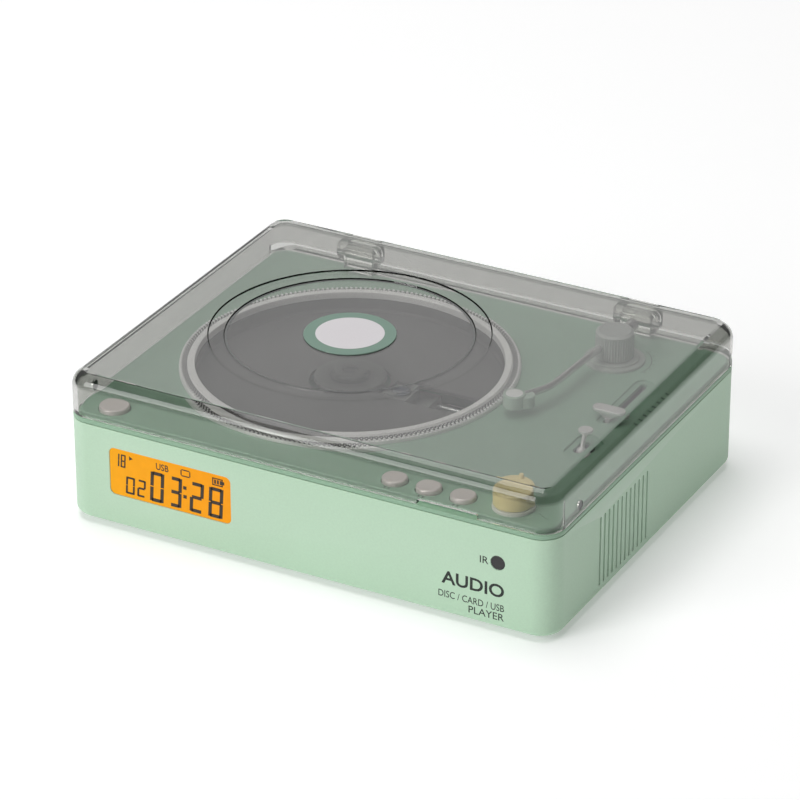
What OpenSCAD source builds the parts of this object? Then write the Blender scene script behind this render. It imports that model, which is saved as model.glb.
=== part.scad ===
// Tabletop CD player styled as a small record deck, with a hinged clear lid.
// Frame: origin on the floor under the middle of the case, +X right, +Y back, +Z up.

/* [Case] */
// Width of the case, side to side
case_w = 220; // [216:1:230]
// Depth of the case, front to back
case_d = 173; // [172:1:180]
// Plan corner radius of the case and of the lid
corner_r = 10; // [9:0.5:12]
// Wall thickness of the case
wall = 2.2; // [1.8:0.1:2.6]
// Height of the rubber feet
foot_h = 2; // [1.5:0.5:3]
// Height of the rim that the lid closes on, from the floor
rim_z = 47.5; // [47.5:0.5:49]
// How far the deck stands above the rim
deck_rise = 2; // [1.5:0.5:2]
// Number of vent slots in each side
vent_count = 12; // [6:1:14]

/* [Lid] */
// Height of the closed lid's top, from the floor
lid_top_z = 66; // [66:0.5:68]
// How far the top plate is inset from the sides
shoulder_in = 5; // [3:0.5:6]
// Thickness of the lid's walls
lid_wall = 2; // [1.5:0.1:2.2]
// Outer radius of the shallow dish in the lid
dish_r = 58.2; // [50:0.1:60]
// Radius of the badge in the middle of the dish
badge_r = 19.1; // [15:0.1:22]

/* [Disc well] */
// Distance of the disc's axis to the left of the middle
disc_left = 26; // [25:0.5:27]
// Outer radius of the dotted ring around the well
ring_r = 70.2; // [69:0.1:71]
// Inner radius of the dotted ring
ring_in_r = 63.5; // [62.5:0.1:64]
// Height of the dotted ring above the deck
ring_h = 3; // [2:0.5:3.2]
// Radius of the hub that centres the disc
hub_pin_r = 7.4; // [7.3:0.05:7.45]
// Travel of the pickup from the inner to the outer track
sled_travel = 33; // [20:1:33]

/* [Controls] */
// Radius of the three transport buttons
button_r = 5.2; // [4:0.1:5.5]
// Distance between the transport buttons
button_pitch = 15; // [13:0.5:16]
// Radius of the power button
power_r = 6.3; // [5:0.1:6.4]
// Travel of every button
button_travel = 0.8; // [0.4:0.1:0.8]
// Radius of the volume knob
knob_r = 7.9; // [6:0.1:8]
// Travel of the fader
fader_travel = 31; // [20:1:31]
// Radius of the tonearm's post
post_r = 8; // [6:0.1:8.5]

/* [Hidden] */
$fn = 96;
eps = 0.01;
body_z = foot_h;
band_h = 2;
shell_top = rim_z - band_h;
deck_z = rim_z + deck_rise;
deck_in = 3;
flange_w = 4;
in_x = case_w / 2 - wall;
in_y = case_d / 2 - wall;
floor_t = 2;
board_t = 1.6;
fit_gap = 0.3;
post_xy = [case_w / 2 - corner_r + 0.5, case_d / 2 - corner_r + 0.5];
post_boss_r = corner_r - wall - 0.3;
post_boss_z = 30;
screw_r = 1.3;

// Display, on the left of the front
lcd_x = -61;
lcd_z = 27;
lcd_w = 56.3;
lcd_h = 21.1;
ir_x = 86;
ir_z = 31.2;
ir_r = 3.1;

// Side vents and speakers
vent_y = -23.6;
vent_pitch = 3.88;
vent_w = 1.2;
vent_z = [6.5, 37.2];
spk_z = (vent_z[0] + vent_z[1]) / 2;
spk_r = 17.5;

// Ports in the back, on the main board
board_z = 12;
board_top = board_z + board_t;
board_x = [-92, 62];
board_holes = [for (x = [-88, 55], y = [26, 72]) [x, y]];
port_usb_a = [-78, 7.2, 14.6];
port_usb_c = [-54, 3.4, 9.2];
port_card_x = -32;
jack_x = -10;
jack_r = 1.8;

// Disc drive
dx = -disc_left;
well_floor_z = 43.5;
well_t = 1.5;
seat_z = 45.7;
hub_top_z = 48;
shaft_r = 1;
run = 0.05;
chassis_z = 27;
chassis_t = 1.5;
rod_z = 34;
rod_y = 11;
rod_r = 1.5;
screw_y = -19;
screw_rod_r = 1.2;
sled_x = [dx + 13, dx + 35];
lens_x = dx + 24;
rod_x = [dx + 9.5, dx + 72];
damper_xy = [for (x = [dx - 18, dx + 50], y = [-29, 20]) [x, y]];
sled_slot_x = [dx + 17.5, dx + 62.5];

// Controls on the deck
transport = [for (i = [0 : 2]) [35.6 + i * button_pitch, -75.3]];
power_xy = [-92.3, -75.2];
knob_xy = [85.8, -72.6];
switch_board_z = 39.5;
switch_top = switch_board_z + board_t + 1.9;
cap_proud = 1.8;
fader_x = 87.6;
fader_y = 8;
fader_slot = [fader_y - 3.5, fader_y + fader_travel + 3.5];
toggle_xy = [88, -18];
toggle_pivot_z = 46.6;
toggle_lean = 26;
toggle_r = 1.2;
toggle_pin_r = 0.8;

// Tonearm
arm_xy = [67.4, 55.3];
flange_r = 12.7;
arm_shaft_r = 3;
post_top = 63.4;
arm_z = 57;
arm_r = 1.5;
arm_path = [[64.2, 50], [63.2, 42], [61.5, 10.8], [60, 5.5], [56.2, -1.9], [53, -5.4]];
head_xy = [52.4, -6.4];

// Lid
lid_z = rim_z + 0.5;
shoulder_z = lid_top_z - 6;
dish_depth = 1.2;
badge_t = 0.6;
hinge_sweep_r = 7.2;
dish_slope = 6.6;
hinge_x = 65.5;
hinge_y = case_d / 2 - 5;
hinge_z = deck_z + 6.5;
knuckle_w = 14;
knuckle_r = 2.5;
ear_w = 3;
ear_gap = 0.4;
ear_x = knuckle_w / 2 + ear_gap;
pin_r = 1.2;
rear_cut_z = hinge_z - 3.5;
rear_cut_y = hinge_y - 3.5;
bumper_y = -64;

// A rectangle with round corners, centred
module rrect(w, d, r) {
    square([w - 2 * r, d], center = true);
    square([w, d - 2 * r], center = true);
    for (sx = [-1, 1], sy = [-1, 1]) translate([sx * (w / 2 - r), sy * (d / 2 - r)]) circle(r);
}

// The case outline, inset by an amount, from one height to another
module slab(inset, z0, z1) {
    translate([0, 0, z0]) linear_extrude(z1 - z0)
        rrect(case_w - 2 * inset, case_d - 2 * inset, corner_r - inset);
}

// An upright cylinder between two heights
module rod(r, z0, z1) { translate([0, 0, z0]) cylinder(r = r, h = z1 - z0); }

// A cylinder along X between two places
module xrod(r, x0, x1) { translate([x0, 0, 0]) rotate([0, 90, 0]) cylinder(r = r, h = x1 - x0); }

// A cylinder along Y between two places
module yrod(r, y0, y1) { translate([0, y0, 0]) rotate([-90, 0, 0]) cylinder(r = r, h = y1 - y0); }

// A box given by its lowest and highest corners
module box(a, b) { translate(a) cube(b - a); }

// A slot outline with round ends, along Y
module stadium(l, w) {
    square([w, l - w], center = true);
    for (s = [-1, 1]) translate([0, s * (l - w) / 2]) circle(w / 2);
}

// A rounded plate that stands in the front or back, facing along Y
module upright(x, z, w, h, r, y0, y1) {
    translate([x, y0, z]) rotate([-90, 0, 0]) linear_extrude(y1 - y0) rrect(w, h, r);
}

// ---- Case ----

module vents(x0, x1) {
    for (i = [0 : vent_count - 1])
        translate([0, vent_y + (i - (vent_count - 1) / 2) * vent_pitch, 0])
            box([x0, -vent_w / 2, vent_z[0]], [x1, vent_w / 2, vent_z[1]]);
}

module ports(y0, y1) {
    box([port_usb_a[0] - 7.3, y0, board_top], [port_usb_a[0] + 7.3, y1, board_top + 7.2]);
    upright(port_usb_c[0], board_top + 1.7, 9.2, 3.4, 1.6, y0, y1);
    box([port_card_x - 7, y0, board_top], [port_card_x + 7, y1, board_top + 2]);
    translate([jack_x, 0, board_top + 3.2]) yrod(3.2, y0, y1);
}

module body_shell() {
    color("#c3d8c8") difference() {
        union() {
            difference() {
                slab(0, body_z, shell_top);
                slab(wall, body_z - 1, shell_top + 1);
            }
            for (sx = [-1, 1], sy = [-1, 1]) translate([sx * post_xy[0], sy * post_xy[1], 0])
                rod(post_boss_r, body_z + floor_t, post_boss_z);
        }
        upright(lcd_x, lcd_z, lcd_w, lcd_h, 2.5, -case_d / 2 - 1, -in_y + eps);
        translate([ir_x, 0, ir_z]) yrod(ir_r, -case_d / 2 - 1, -in_y + eps);
        for (s = [-1, 1]) scale([s, 1, 1]) vents(in_x - eps, case_w / 2 + 1);
        ports(in_y - eps, case_d / 2 + 1);
        for (sx = [-1, 1], sy = [-1, 1]) translate([sx * post_xy[0], sy * post_xy[1], 0])
            rod(screw_r, body_z, body_z + 16);
    }
}

module bottom_cover() {
    color("#b9cfbe") difference() {
        union() {
            slab(wall, body_z, body_z + floor_t);
            for (p = board_holes) translate([p[0], p[1], 0])
                rod(2.5, body_z + floor_t, board_z);
        }
        for (sx = [-1, 1], sy = [-1, 1]) translate([sx * post_xy[0], sy * post_xy[1], 0]) {
            rod(screw_r, body_z - 1, body_z + floor_t + 1);
            rod(2.8, body_z - 1, body_z + 1);
        }
    }
}

module rubber_feet() {
    color("#3a3a3a") for (sx = [-1, 1], sy = [-1, 1]) translate([sx * 86, sy * 62, 0])
        rotate_extrude() polygon([[0, 0], [6.6, 0], [7.5, body_z], [0, body_z]]);
}

module case_screws() {
    color("silver") for (sx = [-1, 1], sy = [-1, 1])
        translate([sx * post_xy[0], sy * post_xy[1], 0]) difference() {
            union() {
                rod(2.7, body_z, body_z + 1);
                rod(screw_r, body_z + 1 - eps, body_z + 14);
            }
            for (a = [0, 90]) rotate(a) box([-1.6, -0.3, body_z - 1], [1.6, 0.3, body_z + 0.6]);
        }
}

// ---- Deck ----

// A low rail behind the hinges that fills the gap under the lid's rear skirt
module rear_rail() {
    difference() {
        slab(0, rim_z, rear_cut_z - 0.5);
        slab(lid_wall, rim_z - 1, lid_top_z);
        box([-case_w, -case_d, rim_z - 1], [case_w, rear_cut_y + fit_gap, lid_top_z]);
        translate([0, hinge_y, hinge_z]) xrod(hinge_sweep_r, -case_w, case_w);
    }
}

module top_deck() {
    color("#a9c9b2") difference() {
        union() {
            rear_rail();
            difference() {
                slab(0, shell_top, rim_z);
                slab(flange_w, shell_top - 1, rim_z + 1);
            }
            slab(deck_in, rim_z, deck_z);
            for (p = [[28, -66], [72, -62], [-100, -62], [-84, -62]])
                translate([p[0], p[1], 0]) rod(2, switch_board_z + board_t, rim_z);
        }
        translate([dx, 0, 0]) rod(66.2, rim_z - 1, deck_z + 1);
        for (p = transport) translate([p[0], p[1], 0])
            rod(button_r + fit_gap, rim_z - 1, deck_z + 1);
        translate([power_xy[0], power_xy[1], 0]) rod(power_r + fit_gap, rim_z - 1, deck_z + 1);
        translate([knob_xy[0], knob_xy[1], 0]) rod(4.7, rim_z - 1, deck_z + 1);
        translate([arm_xy[0], arm_xy[1], 0]) rod(arm_shaft_r + 0.3, rim_z - 1, deck_z + 1);
        translate([fader_x, (fader_slot[0] + fader_slot[1]) / 2, 0]) {
            translate([0, 0, deck_z - 0.6]) linear_extrude(2)
                stadium(fader_slot[1] - fader_slot[0] + 5, 8);
            translate([0, 0, rim_z - 1]) linear_extrude(4)
                stadium(fader_slot[1] - fader_slot[0], 3);
        }
        translate([toggle_xy[0], toggle_xy[1], 0]) {
            translate([0, 0, deck_z - 1]) linear_extrude(2) stadium(20, 9);
            translate([0, 0, rim_z - 1]) linear_extrude(4) stadium(10, 4.2);
        }
    }
}

module cd_bay() {
    color("#4a4a4c") difference() {
        translate([dx, 0, 0]) union() {
            rotate_extrude() polygon([[17, well_floor_z - well_t], [66, well_floor_z - well_t],
                [66, rim_z - 1.7], [69.5, rim_z - 1.7], [69.5, rim_z], [66, rim_z],
                [66, deck_z], [64, deck_z], [64, well_floor_z + 1], [63, well_floor_z],
                [17, well_floor_z]]);
            for (p = damper_xy) translate([p[0] - dx, p[1], 0])
                rod(2.5, chassis_z + 6, well_floor_z - well_t);
        }
        box([sled_slot_x[0], -8, well_floor_z - 3], [sled_slot_x[1], 8, well_floor_z + 1]);
    }
}

module strobe_ring() {
    color("#c9cbc9") translate([dx, 0, 0]) rotate_extrude() polygon([[ring_in_r, deck_z],
        [ring_in_r, deck_z + ring_h - 0.4], [ring_in_r + 0.4, deck_z + ring_h],
        [ring_in_r + 2.8, deck_z + ring_h], [ring_in_r + 3.1, deck_z + ring_h - 0.4],
        [ring_r - 0.6, deck_z + ring_h - 0.9], [ring_r, deck_z + ring_h - 1.6],
        [ring_r, deck_z]]);
}

// ---- Display ----

module display_window() {
    color("#f7b03c") upright(lcd_x, lcd_z, lcd_w, lcd_h, 2.5, -case_d / 2 + 0.3, -in_y);
}

module lcd_panel() { color("#8a7a50") upright(lcd_x, lcd_z, 62, 23.4, 1, -in_y, -in_y + 1.8); }

module display_backlight() {
    color("#fff2c0") upright(lcd_x, lcd_z, 62, 23.4, 1, -in_y + 1.8, -in_y + 4.6);
}

module display_board() {
    color("#2f6b45") upright(lcd_x, lcd_z, 62, 24, 1, -in_y + 4.6, -in_y + 4.6 + board_t);
}

module ir_window() {
    color("#1c1c1e") translate([ir_x, 0, ir_z]) yrod(ir_r, -case_d / 2 + 0.2, -in_y);
}

module ir_receiver() {
    color("#2a2a2c") box([ir_x - 3, -in_y, ir_z - 3.5], [ir_x + 3, -in_y + 4.5, ir_z + 3.5]);
}

// ---- Speakers ----

module vent_screens() {
    color("#26282a") for (s = [-1, 1]) scale([s, 1, 1])
        box([in_x - 0.8, vent_y - 23.5, vent_z[0] - 1.5], [in_x, vent_y + 23.5, vent_z[1] + 1.5]);
}

// A speaker's frame, on the right for 1 and on the left for -1
module speaker_frame(s) {
    color("#404246") scale([s, 1, 1]) translate([0, vent_y, spk_z]) difference() {
        union() {
            xrod(spk_r, in_x - 3.8, in_x - 0.8);
            for (a = [45 : 90 : 315]) rotate([a, 0, 0]) box([in_x - 3.8, spk_r - 3, -3],
                [in_x - 2.2, spk_r + 2.5, 3]);
            xrod(13, in_x - 11, in_x - 3.8 + eps);
        }
        xrod(spk_r - 1.5, in_x - 2.8, in_x);
        xrod(11.2, in_x - 12, in_x - 2);
    }
}

module speaker_cones() {
    color("#1f1f21") for (s = [-1, 1]) scale([s, 1, 1])
        translate([in_x - 9.8, vent_y, spk_z]) rotate([0, 90, 0])
            rotate_extrude() polygon([[0, 1], [4, 0], [4.4, 0], [11, 7.2], [13.4, 8.2],
                [15.8, 7.2], [15.8, 8], [13.4, 9], [10.6, 8], [4, 1.6], [0, 2.4]]);
}

module speaker_magnets() {
    color("#6c6e72") for (s = [-1, 1]) scale([s, 1, 1]) translate([0, vent_y, spk_z]) {
        xrod(13, in_x - 16, in_x - 11);
        xrod(14, in_x - 18, in_x - 16);
    }
}

// ---- Electronics ----

module main_board() {
    color("#2f6b45") difference() {
        union() {
            box([board_x[0], 20, board_z], [board_x[1], in_y - 1, board_top]);
            for (p = [[-60, 30, 14], [-30, 36, 10], [5, 30, 12], [35, 40, 8]])
                box([p[0], p[1], board_top - eps], [p[0] + p[2], p[1] + p[2], board_top + 1.2]);
        }
        for (p = board_holes) translate([p[0], p[1], 0]) rod(1.1, board_z - 1, board_top + 1);
    }
}

module battery_pack() {
    color("#3f6fb0") for (y = [-66, -47.5]) translate([0, y, body_z + floor_t + 9.3])
        xrod(9.2, -12, 53);
}

// A square tube that is open towards the back, on the main board
module shell_socket(x, w, h, depth, t) {
    difference() {
        box([x - w / 2, in_y - depth, board_top], [x + w / 2, in_y, board_top + h]);
        box([x - w / 2 + t, in_y - depth + t, board_top + t], [x + w / 2 - t, in_y + 1,
            board_top + h - t]);
    }
}

module usb_a_socket() {
    color("silver") shell_socket(port_usb_a[0], port_usb_a[2], port_usb_a[1], 13, 0.5);
    color("white") box([port_usb_a[0] - 5.6, in_y - 12.6, board_top + 5.2],
        [port_usb_a[0] + 5.6, in_y - 2, board_top + 6.5]);
}

module usb_c_socket() {
    color("silver") difference() {
        upright(port_usb_c[0], board_top + 1.7, 9.2, 3.4, 1.6, in_y - 7.5, in_y);
        upright(port_usb_c[0], board_top + 1.7, 8.4, 2.6, 1.2, in_y - 7, in_y + 1);
    }
    color("black") box([port_usb_c[0] - 3.3, in_y - 7 - eps, board_top + 1.4],
        [port_usb_c[0] + 3.3, in_y - 1, board_top + 2]);
}

module card_socket() { color("silver") shell_socket(port_card_x, 14, 2, 14, 0.3); }

module audio_jack() {
    color("#202022") translate([jack_x, 0, board_top + 3.2]) difference() {
        union() {
            box([-3.2, in_y - 12, -3.2], [3.2, in_y, 3.2]);
            yrod(3.1, in_y - eps, case_d / 2 - 0.2);
        }
        yrod(jack_r, in_y - 11, case_d / 2 + 1);
    }
}

module control_board() {
    color("#2f6b45") {
        box([24, -81.5, switch_board_z], [98, -58, switch_board_z + board_t]);
        box([-106, -81.5, switch_board_z], [-80, -58, switch_board_z + board_t]);
    }
}

module button_switches() {
    color("#55585c") for (p = concat(transport, [power_xy])) translate([p[0], p[1], 0]) {
        box([-3, -3, switch_board_z + board_t], [3, 3, switch_top - 0.4]);
        rod(1.7, switch_top - 0.4 - eps, switch_top);
    }
}

// ---- Knob and buttons ----

module volume_encoder() {
    color("#777a7e") translate([knob_xy[0], knob_xy[1], 0]) difference() {
        union() {
            box([-6, -6, switch_board_z + board_t], [6, 6, rim_z - 0.9]);
            rod(4.5, rim_z - 0.9 - eps, deck_z);
        }
        rod(arm_shaft_r + run, switch_board_z + 3, deck_z + 1);
    }
}

module knob_collar() {
    color("#d8d8ce") translate([knob_xy[0], knob_xy[1], 0]) difference() {
        rod(knob_r + 0.4, deck_z, deck_z + 1.6);
        rod(4.7, deck_z - 1, deck_z + 3);
    }
}

module volume_knob() {
    color("#e2d7ae") translate([knob_xy[0], knob_xy[1], 0]) difference() {
        union() {
            rotate_extrude() polygon([[0, deck_z + 1.9], [knob_r, deck_z + 1.9],
                [knob_r, deck_z + 8], [knob_r - 0.4, deck_z + 8.4], [0, deck_z + 8.4]]);
            translate([0, knob_r - 1.9, 0]) rod(1, deck_z + 8, deck_z + 10.2);
        }
        rod(arm_shaft_r, deck_z, deck_z + 6.5);
    }
}

module encoder_shaft() {
    color("silver") translate([knob_xy[0], knob_xy[1], 0])
        rod(arm_shaft_r, switch_board_z + 3.5, deck_z + 6.5);
}

module push_button(p, r) {
    color("#d6cfc9") translate([p[0], p[1], 0]) rotate_extrude() polygon([
        [0, switch_top + 0.9], [1.5, switch_top + 0.9], [1.5, rim_z - 1.4], [r + 0.7, rim_z - 1.4],
        [r + 0.7, rim_z - 0.1], [r, rim_z - 0.1], [r, deck_z + cap_proud - 0.5],
        [r - 0.5, deck_z + cap_proud], [0, deck_z + cap_proud]]);
}

module power_button() { push_button(power_xy, power_r); }

module play_button() { push_button(transport[1], button_r); }

module back_button() { push_button(transport[0], button_r); }

module forward_button() { push_button(transport[2], button_r); }

// ---- Fader and toggle ----

module fader_track() {
    color("#6a6c70") difference() {
        box([fader_x - 6, fader_slot[0] - 3, rim_z - 9], [fader_x + 6, fader_slot[1] + 3, rim_z]);
        box([fader_x - 1.6, fader_slot[0], rim_z - 7], [fader_x + 1.6, fader_slot[1], rim_z + 1]);
    }
}

module fader_cap() {
    translate([fader_x, fader_y, 0]) {
        color("silver") box([-1, -2, rim_z - 5], [1, 2, deck_z + 2.2]);
        color("#d6d3d0") translate([0, 0, deck_z + 2]) linear_extrude(2.5)
            rotate(90) stadium(14, 5.5);
    }
}

module toggle_housing() {
    color("#6a6c70") translate([toggle_xy[0], toggle_xy[1], 0]) difference() {
        box([-5, -8, rim_z - 9], [5, 8, rim_z]);
        translate([0, 0, toggle_pivot_z]) {
            sphere(2.2 + fit_gap);
            xrod(toggle_pin_r + run, -4, 4);
        }
        translate([0, 0, rim_z - 1.6]) linear_extrude(3) stadium(10, 4.2);
    }
}

module toggle_lever() {
    color("#d6d3d0") translate([toggle_xy[0], toggle_xy[1], toggle_pivot_z]) {
        sphere(2.2);
        xrod(toggle_pin_r, -3.8, 3.8);
        rotate([-toggle_lean, 0, 0]) {
            rod(toggle_r, 1, 8.3);
            rod(3, 8.2, 9.4);
        }
    }
}

// ---- Tonearm ----

module arm_flange() {
    color("#a7b3a9") translate([arm_xy[0], arm_xy[1], 0]) difference() {
        rotate_extrude() polygon([[0, deck_z], [flange_r, deck_z], [flange_r, deck_z + 1.5],
            [flange_r - 0.6, deck_z + 2], [0, deck_z + 2]]);
        rod(arm_shaft_r + run, deck_z - 1, deck_z + 3);
    }
}

module arm_bearing() {
    color("#777a7e") translate([arm_xy[0], arm_xy[1], 0]) difference() {
        rod(6, rim_z - 7, rim_z);
        rod(arm_shaft_r + run, rim_z - 8, rim_z + 1);
    }
}

module arm_post() {
    color("#a7aaa6") translate([arm_xy[0], arm_xy[1], 0]) {
        rod(arm_shaft_r, rim_z - 7, deck_z + 2.6);
        rotate_extrude() polygon([[0, deck_z + 2.3], [post_r, deck_z + 2.3],
            [post_r, post_top - 1.1], [post_r - 1.1, post_top], [0, post_top]]);
    }
}

module arm_tube() {
    color("#c9cac8") for (i = [0 : len(arm_path) - 2]) hull()
        for (p = [arm_path[i], arm_path[i + 1]]) translate([p[0], p[1], arm_z])
            sphere(arm_r, $fn = 24);
}

module arm_headshell() {
    color("#b9ccbd") translate([head_xy[0], head_xy[1], 0]) {
        rod(4.6, deck_z + 3.5, arm_z + 1.8);
        difference() {
            translate([4, 2.6, 0]) rod(3.6, deck_z + 3.5, arm_z - arm_r);
            rod(4.6, deck_z, lid_top_z);
        }
    }
}

module arm_counterweight() {
    color("#c9cac8") translate([arm_xy[0] - 1, 0, arm_z]) {
        yrod(1.6, arm_xy[1] + post_r - 1, arm_xy[1] + 20);
        for (i = [0 : 3]) yrod(2.6, arm_xy[1] + 11 + 2.4 * i, arm_xy[1] + 12.8 + 2.4 * i);
    }
}

// ---- Disc drive ----

module drive_chassis() {
    color("#8d9094") difference() {
        union() {
            box([dx - 22, -33, chassis_z], [dx + 76, 24, chassis_z + chassis_t]);
            for (x = [rod_x[0] - 3.5, rod_x[1]], y = [-rod_y, rod_y])
                box([x, y - 3, chassis_z + chassis_t - eps], [x + 3.5, y + 3, rod_z + 3]);
            box([rod_x[1], screw_y - 3, chassis_z + chassis_t - eps],
                [rod_x[1] + 3.5, screw_y + 3, rod_z + 3]);
        }
        for (y = [-rod_y, rod_y]) translate([0, y, rod_z])
            xrod(rod_r, rod_x[0] - 2, rod_x[1] + 2);
        translate([0, screw_y, rod_z]) xrod(screw_rod_r + run, rod_x[1] - 1, rod_x[1] + 2);
    }
}

module drive_dampers() {
    color("#2c2c2e") for (p = damper_xy) translate([p[0], p[1], 0])
        rod(3.4, chassis_z + chassis_t, chassis_z + 6);
}

module spindle_motor() {
    color("#9fa2a6") translate([dx, 0, 0]) difference() {
        union() {
            rod(9.5, chassis_z + chassis_t, 40);
            rod(3, 40 - eps, 41);
        }
        rod(shaft_r + run, 32, 42);
    }
}

module hub_ball_at(a) {
    rotate(a) translate([hub_pin_r - 1.35, 0, hub_top_z - 1.5]) children();
}

module turntable_hub() {
    color("#2e2e30") translate([dx, 0, 0]) difference() {
        union() {
            rod(shaft_r, 33, 42);
            rotate_extrude() polygon([[0, 41.5], [6, 41.5], [6, 44.2], [15, 44.2], [15, seat_z],
                [hub_pin_r, seat_z], [hub_pin_r, hub_top_z - 0.8], [hub_pin_r - 0.8, hub_top_z],
                [0, hub_top_z]]);
        }
        for (a = [0, 120, 240]) hub_ball_at(a) sphere(1.3);
    }
}

module hub_balls() {
    color("silver") translate([dx, 0, 0]) for (a = [0, 120, 240]) hub_ball_at(a) sphere(1.25);
}

module guide_rods() {
    color("silver") for (y = [-rod_y, rod_y]) translate([0, y, rod_z])
        xrod(rod_r, rod_x[0] - 2, rod_x[1] + 2);
}

module sled_motor() {
    color("#9fa2a6") translate([0, screw_y, rod_z]) difference() {
        xrod(5.4, dx - 12, dx + 6);
        xrod(screw_rod_r + run, dx + 2, dx + 7);
    }
}

module lead_screw() {
    color("#b98f4e") translate([0, screw_y, rod_z]) {
        xrod(screw_rod_r, dx + 2.5, rod_x[1] + 2);
        for (x = [dx + 7, dx + 10]) xrod(screw_rod_r + 0.5, x, x + 1.2);
    }
}

module pickup_sled() {
    color("#303236") difference() {
        union() {
            box([sled_x[0], screw_y + 2, rod_z - 3.5], [sled_x[1], rod_y + 3, rod_z + 3.5]);
            box([lens_x - 4, screw_y + screw_rod_r + 0.2, rod_z - 1],
                [lens_x + 4, screw_y + 2 + eps, rod_z + 1]);
            box([lens_x - 5, -6.5, rod_z + 3.4], [lens_x + 5, 6.5, well_floor_z - 0.5]);
        }
        for (y = [-rod_y, rod_y]) translate([0, y, rod_z])
            xrod(rod_r + run, sled_x[0] - 1, sled_x[1] + 1);
        translate([lens_x, 0, 0]) rod(4, well_floor_z - 4, well_floor_z + 1);
    }
}

module objective_lens() {
    color("#5d7fae") translate([lens_x, 0, 0]) rotate_extrude() polygon([
        [0, well_floor_z - 2.6], [3.5, well_floor_z - 2.6], [3.5, well_floor_z],
        [2.4, well_floor_z + 0.4], [0, well_floor_z + 0.8]]);
}

// ---- Lid ----

module hinge_knuckles() {
    color("#b7b9b8") for (s = [-1, 1]) translate([s * hinge_x, hinge_y, 0]) difference() {
        union() {
            translate([0, 0, hinge_z]) xrod(knuckle_r, -knuckle_w / 2, knuckle_w / 2);
            box([-knuckle_w / 2, -knuckle_r, deck_z], [knuckle_w / 2, knuckle_r, hinge_z]);
        }
        translate([0, 0, hinge_z]) xrod(pin_r + run, -knuckle_w, knuckle_w);
    }
}

// One level of the lid's outline, as thin as hull() needs
module lid_level(inset, z, thick) {
    translate([0, 0, z - thick]) linear_extrude(thick)
        rrect(case_w - 2 * inset, case_d - 2 * inset, max(corner_r - inset, 1));
}

// The lid's solid outline, inset all round by a wall
module lid_form(t, z0) {
    rise = lid_top_z - shoulder_z;
    hull() {
        lid_level(t, shoulder_z - t / 2, shoulder_z - t / 2 - z0);
        lid_level(t + shoulder_in * 0.3, shoulder_z + rise * 0.5 - t * 0.8, 0.1);
        lid_level(t + shoulder_in, lid_top_z - t, 0.1);
    }
}

module lid_cover() {
    color([0.72, 0.72, 0.7, 0.45]) difference() {
        lid_form(0, lid_z);
        lid_form(lid_wall, lid_z - 1);
        translate([dx, 0, lid_top_z]) rotate_extrude() polygon([[0, 1], [0, -dish_depth],
            [dish_r - dish_slope, -dish_depth], [dish_r, 0], [dish_r, 1]]);
        box([50.6, -case_d / 2 - 1, lid_z - 1], [76.9, -in_y + 3, lid_z + 1.9]);
        box([-case_w, rear_cut_y, lid_z - 1], [case_w, case_d, rear_cut_z]);
        for (s = [-1, 1]) {
            box([s * hinge_x - knuckle_w / 2 - ear_gap, hinge_y - 1, lid_z],
                [s * hinge_x + knuckle_w / 2 + ear_gap, case_d, hinge_z + 3.4]);
            translate([s * case_w / 2, bumper_y, lid_z + 4]) xrod(2, -3, 3);
        }
    }
}

module hinge_ears() {
    color([0.72, 0.72, 0.7, 0.45]) for (s = [-1, 1], e = [-1, 1])
        translate([s * hinge_x + e * (ear_x + ear_w / 2), hinge_y, 0]) difference() {
            box([-ear_w / 2, -2.5, hinge_z - 3], [ear_w / 2, 2.6, shoulder_z + 2]);
            translate([0, 0, hinge_z]) xrod(pin_r, -ear_w, ear_w);
        }
}

module hinge_pins() {
    color("silver") for (s = [-1, 1]) translate([s * hinge_x, hinge_y, hinge_z])
        xrod(pin_r, -ear_x - ear_w, ear_x + ear_w);
}

module lid_badge() {
    color("#7ea58a") translate([dx, 0, 0])
        rod(badge_r, lid_top_z - dish_depth, lid_top_z - dish_depth + badge_t);
}

module lid_bumpers() {
    color("#1e1e20") for (s = [-1, 1]) scale([s, 1, 1])
        translate([case_w / 2, bumper_y, lid_z + 4]) xrod(2, -lid_wall - 0.1, -0.1);
}

body_shell();
bottom_cover();
rubber_feet();
case_screws();
top_deck();
cd_bay();
strobe_ring();
display_window();
lcd_panel();
display_backlight();
display_board();
ir_window();
ir_receiver();
vent_screens();
speaker_frame(-1);  // speaker_frame_left
speaker_frame(1);  // speaker_frame_right
speaker_cones();
speaker_magnets();
main_board();
battery_pack();
usb_a_socket();
usb_c_socket();
card_socket();
audio_jack();
control_board();
button_switches();
volume_encoder();
knob_collar();
volume_knob();
encoder_shaft();
power_button();
play_button();
back_button();
forward_button();
fader_track();
fader_cap();
toggle_housing();
toggle_lever();
arm_flange();
arm_bearing();
arm_post();
arm_tube();
arm_headshell();
arm_counterweight();
drive_chassis();
drive_dampers();
spindle_motor();
turntable_hub();
hub_balls();
guide_rods();
sled_motor();
lead_screw();
pickup_sled();
objective_lens();
hinge_knuckles();
hinge_ears();
hinge_pins();
lid_cover();
lid_badge();
lid_bumpers();
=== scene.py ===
import math

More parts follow.
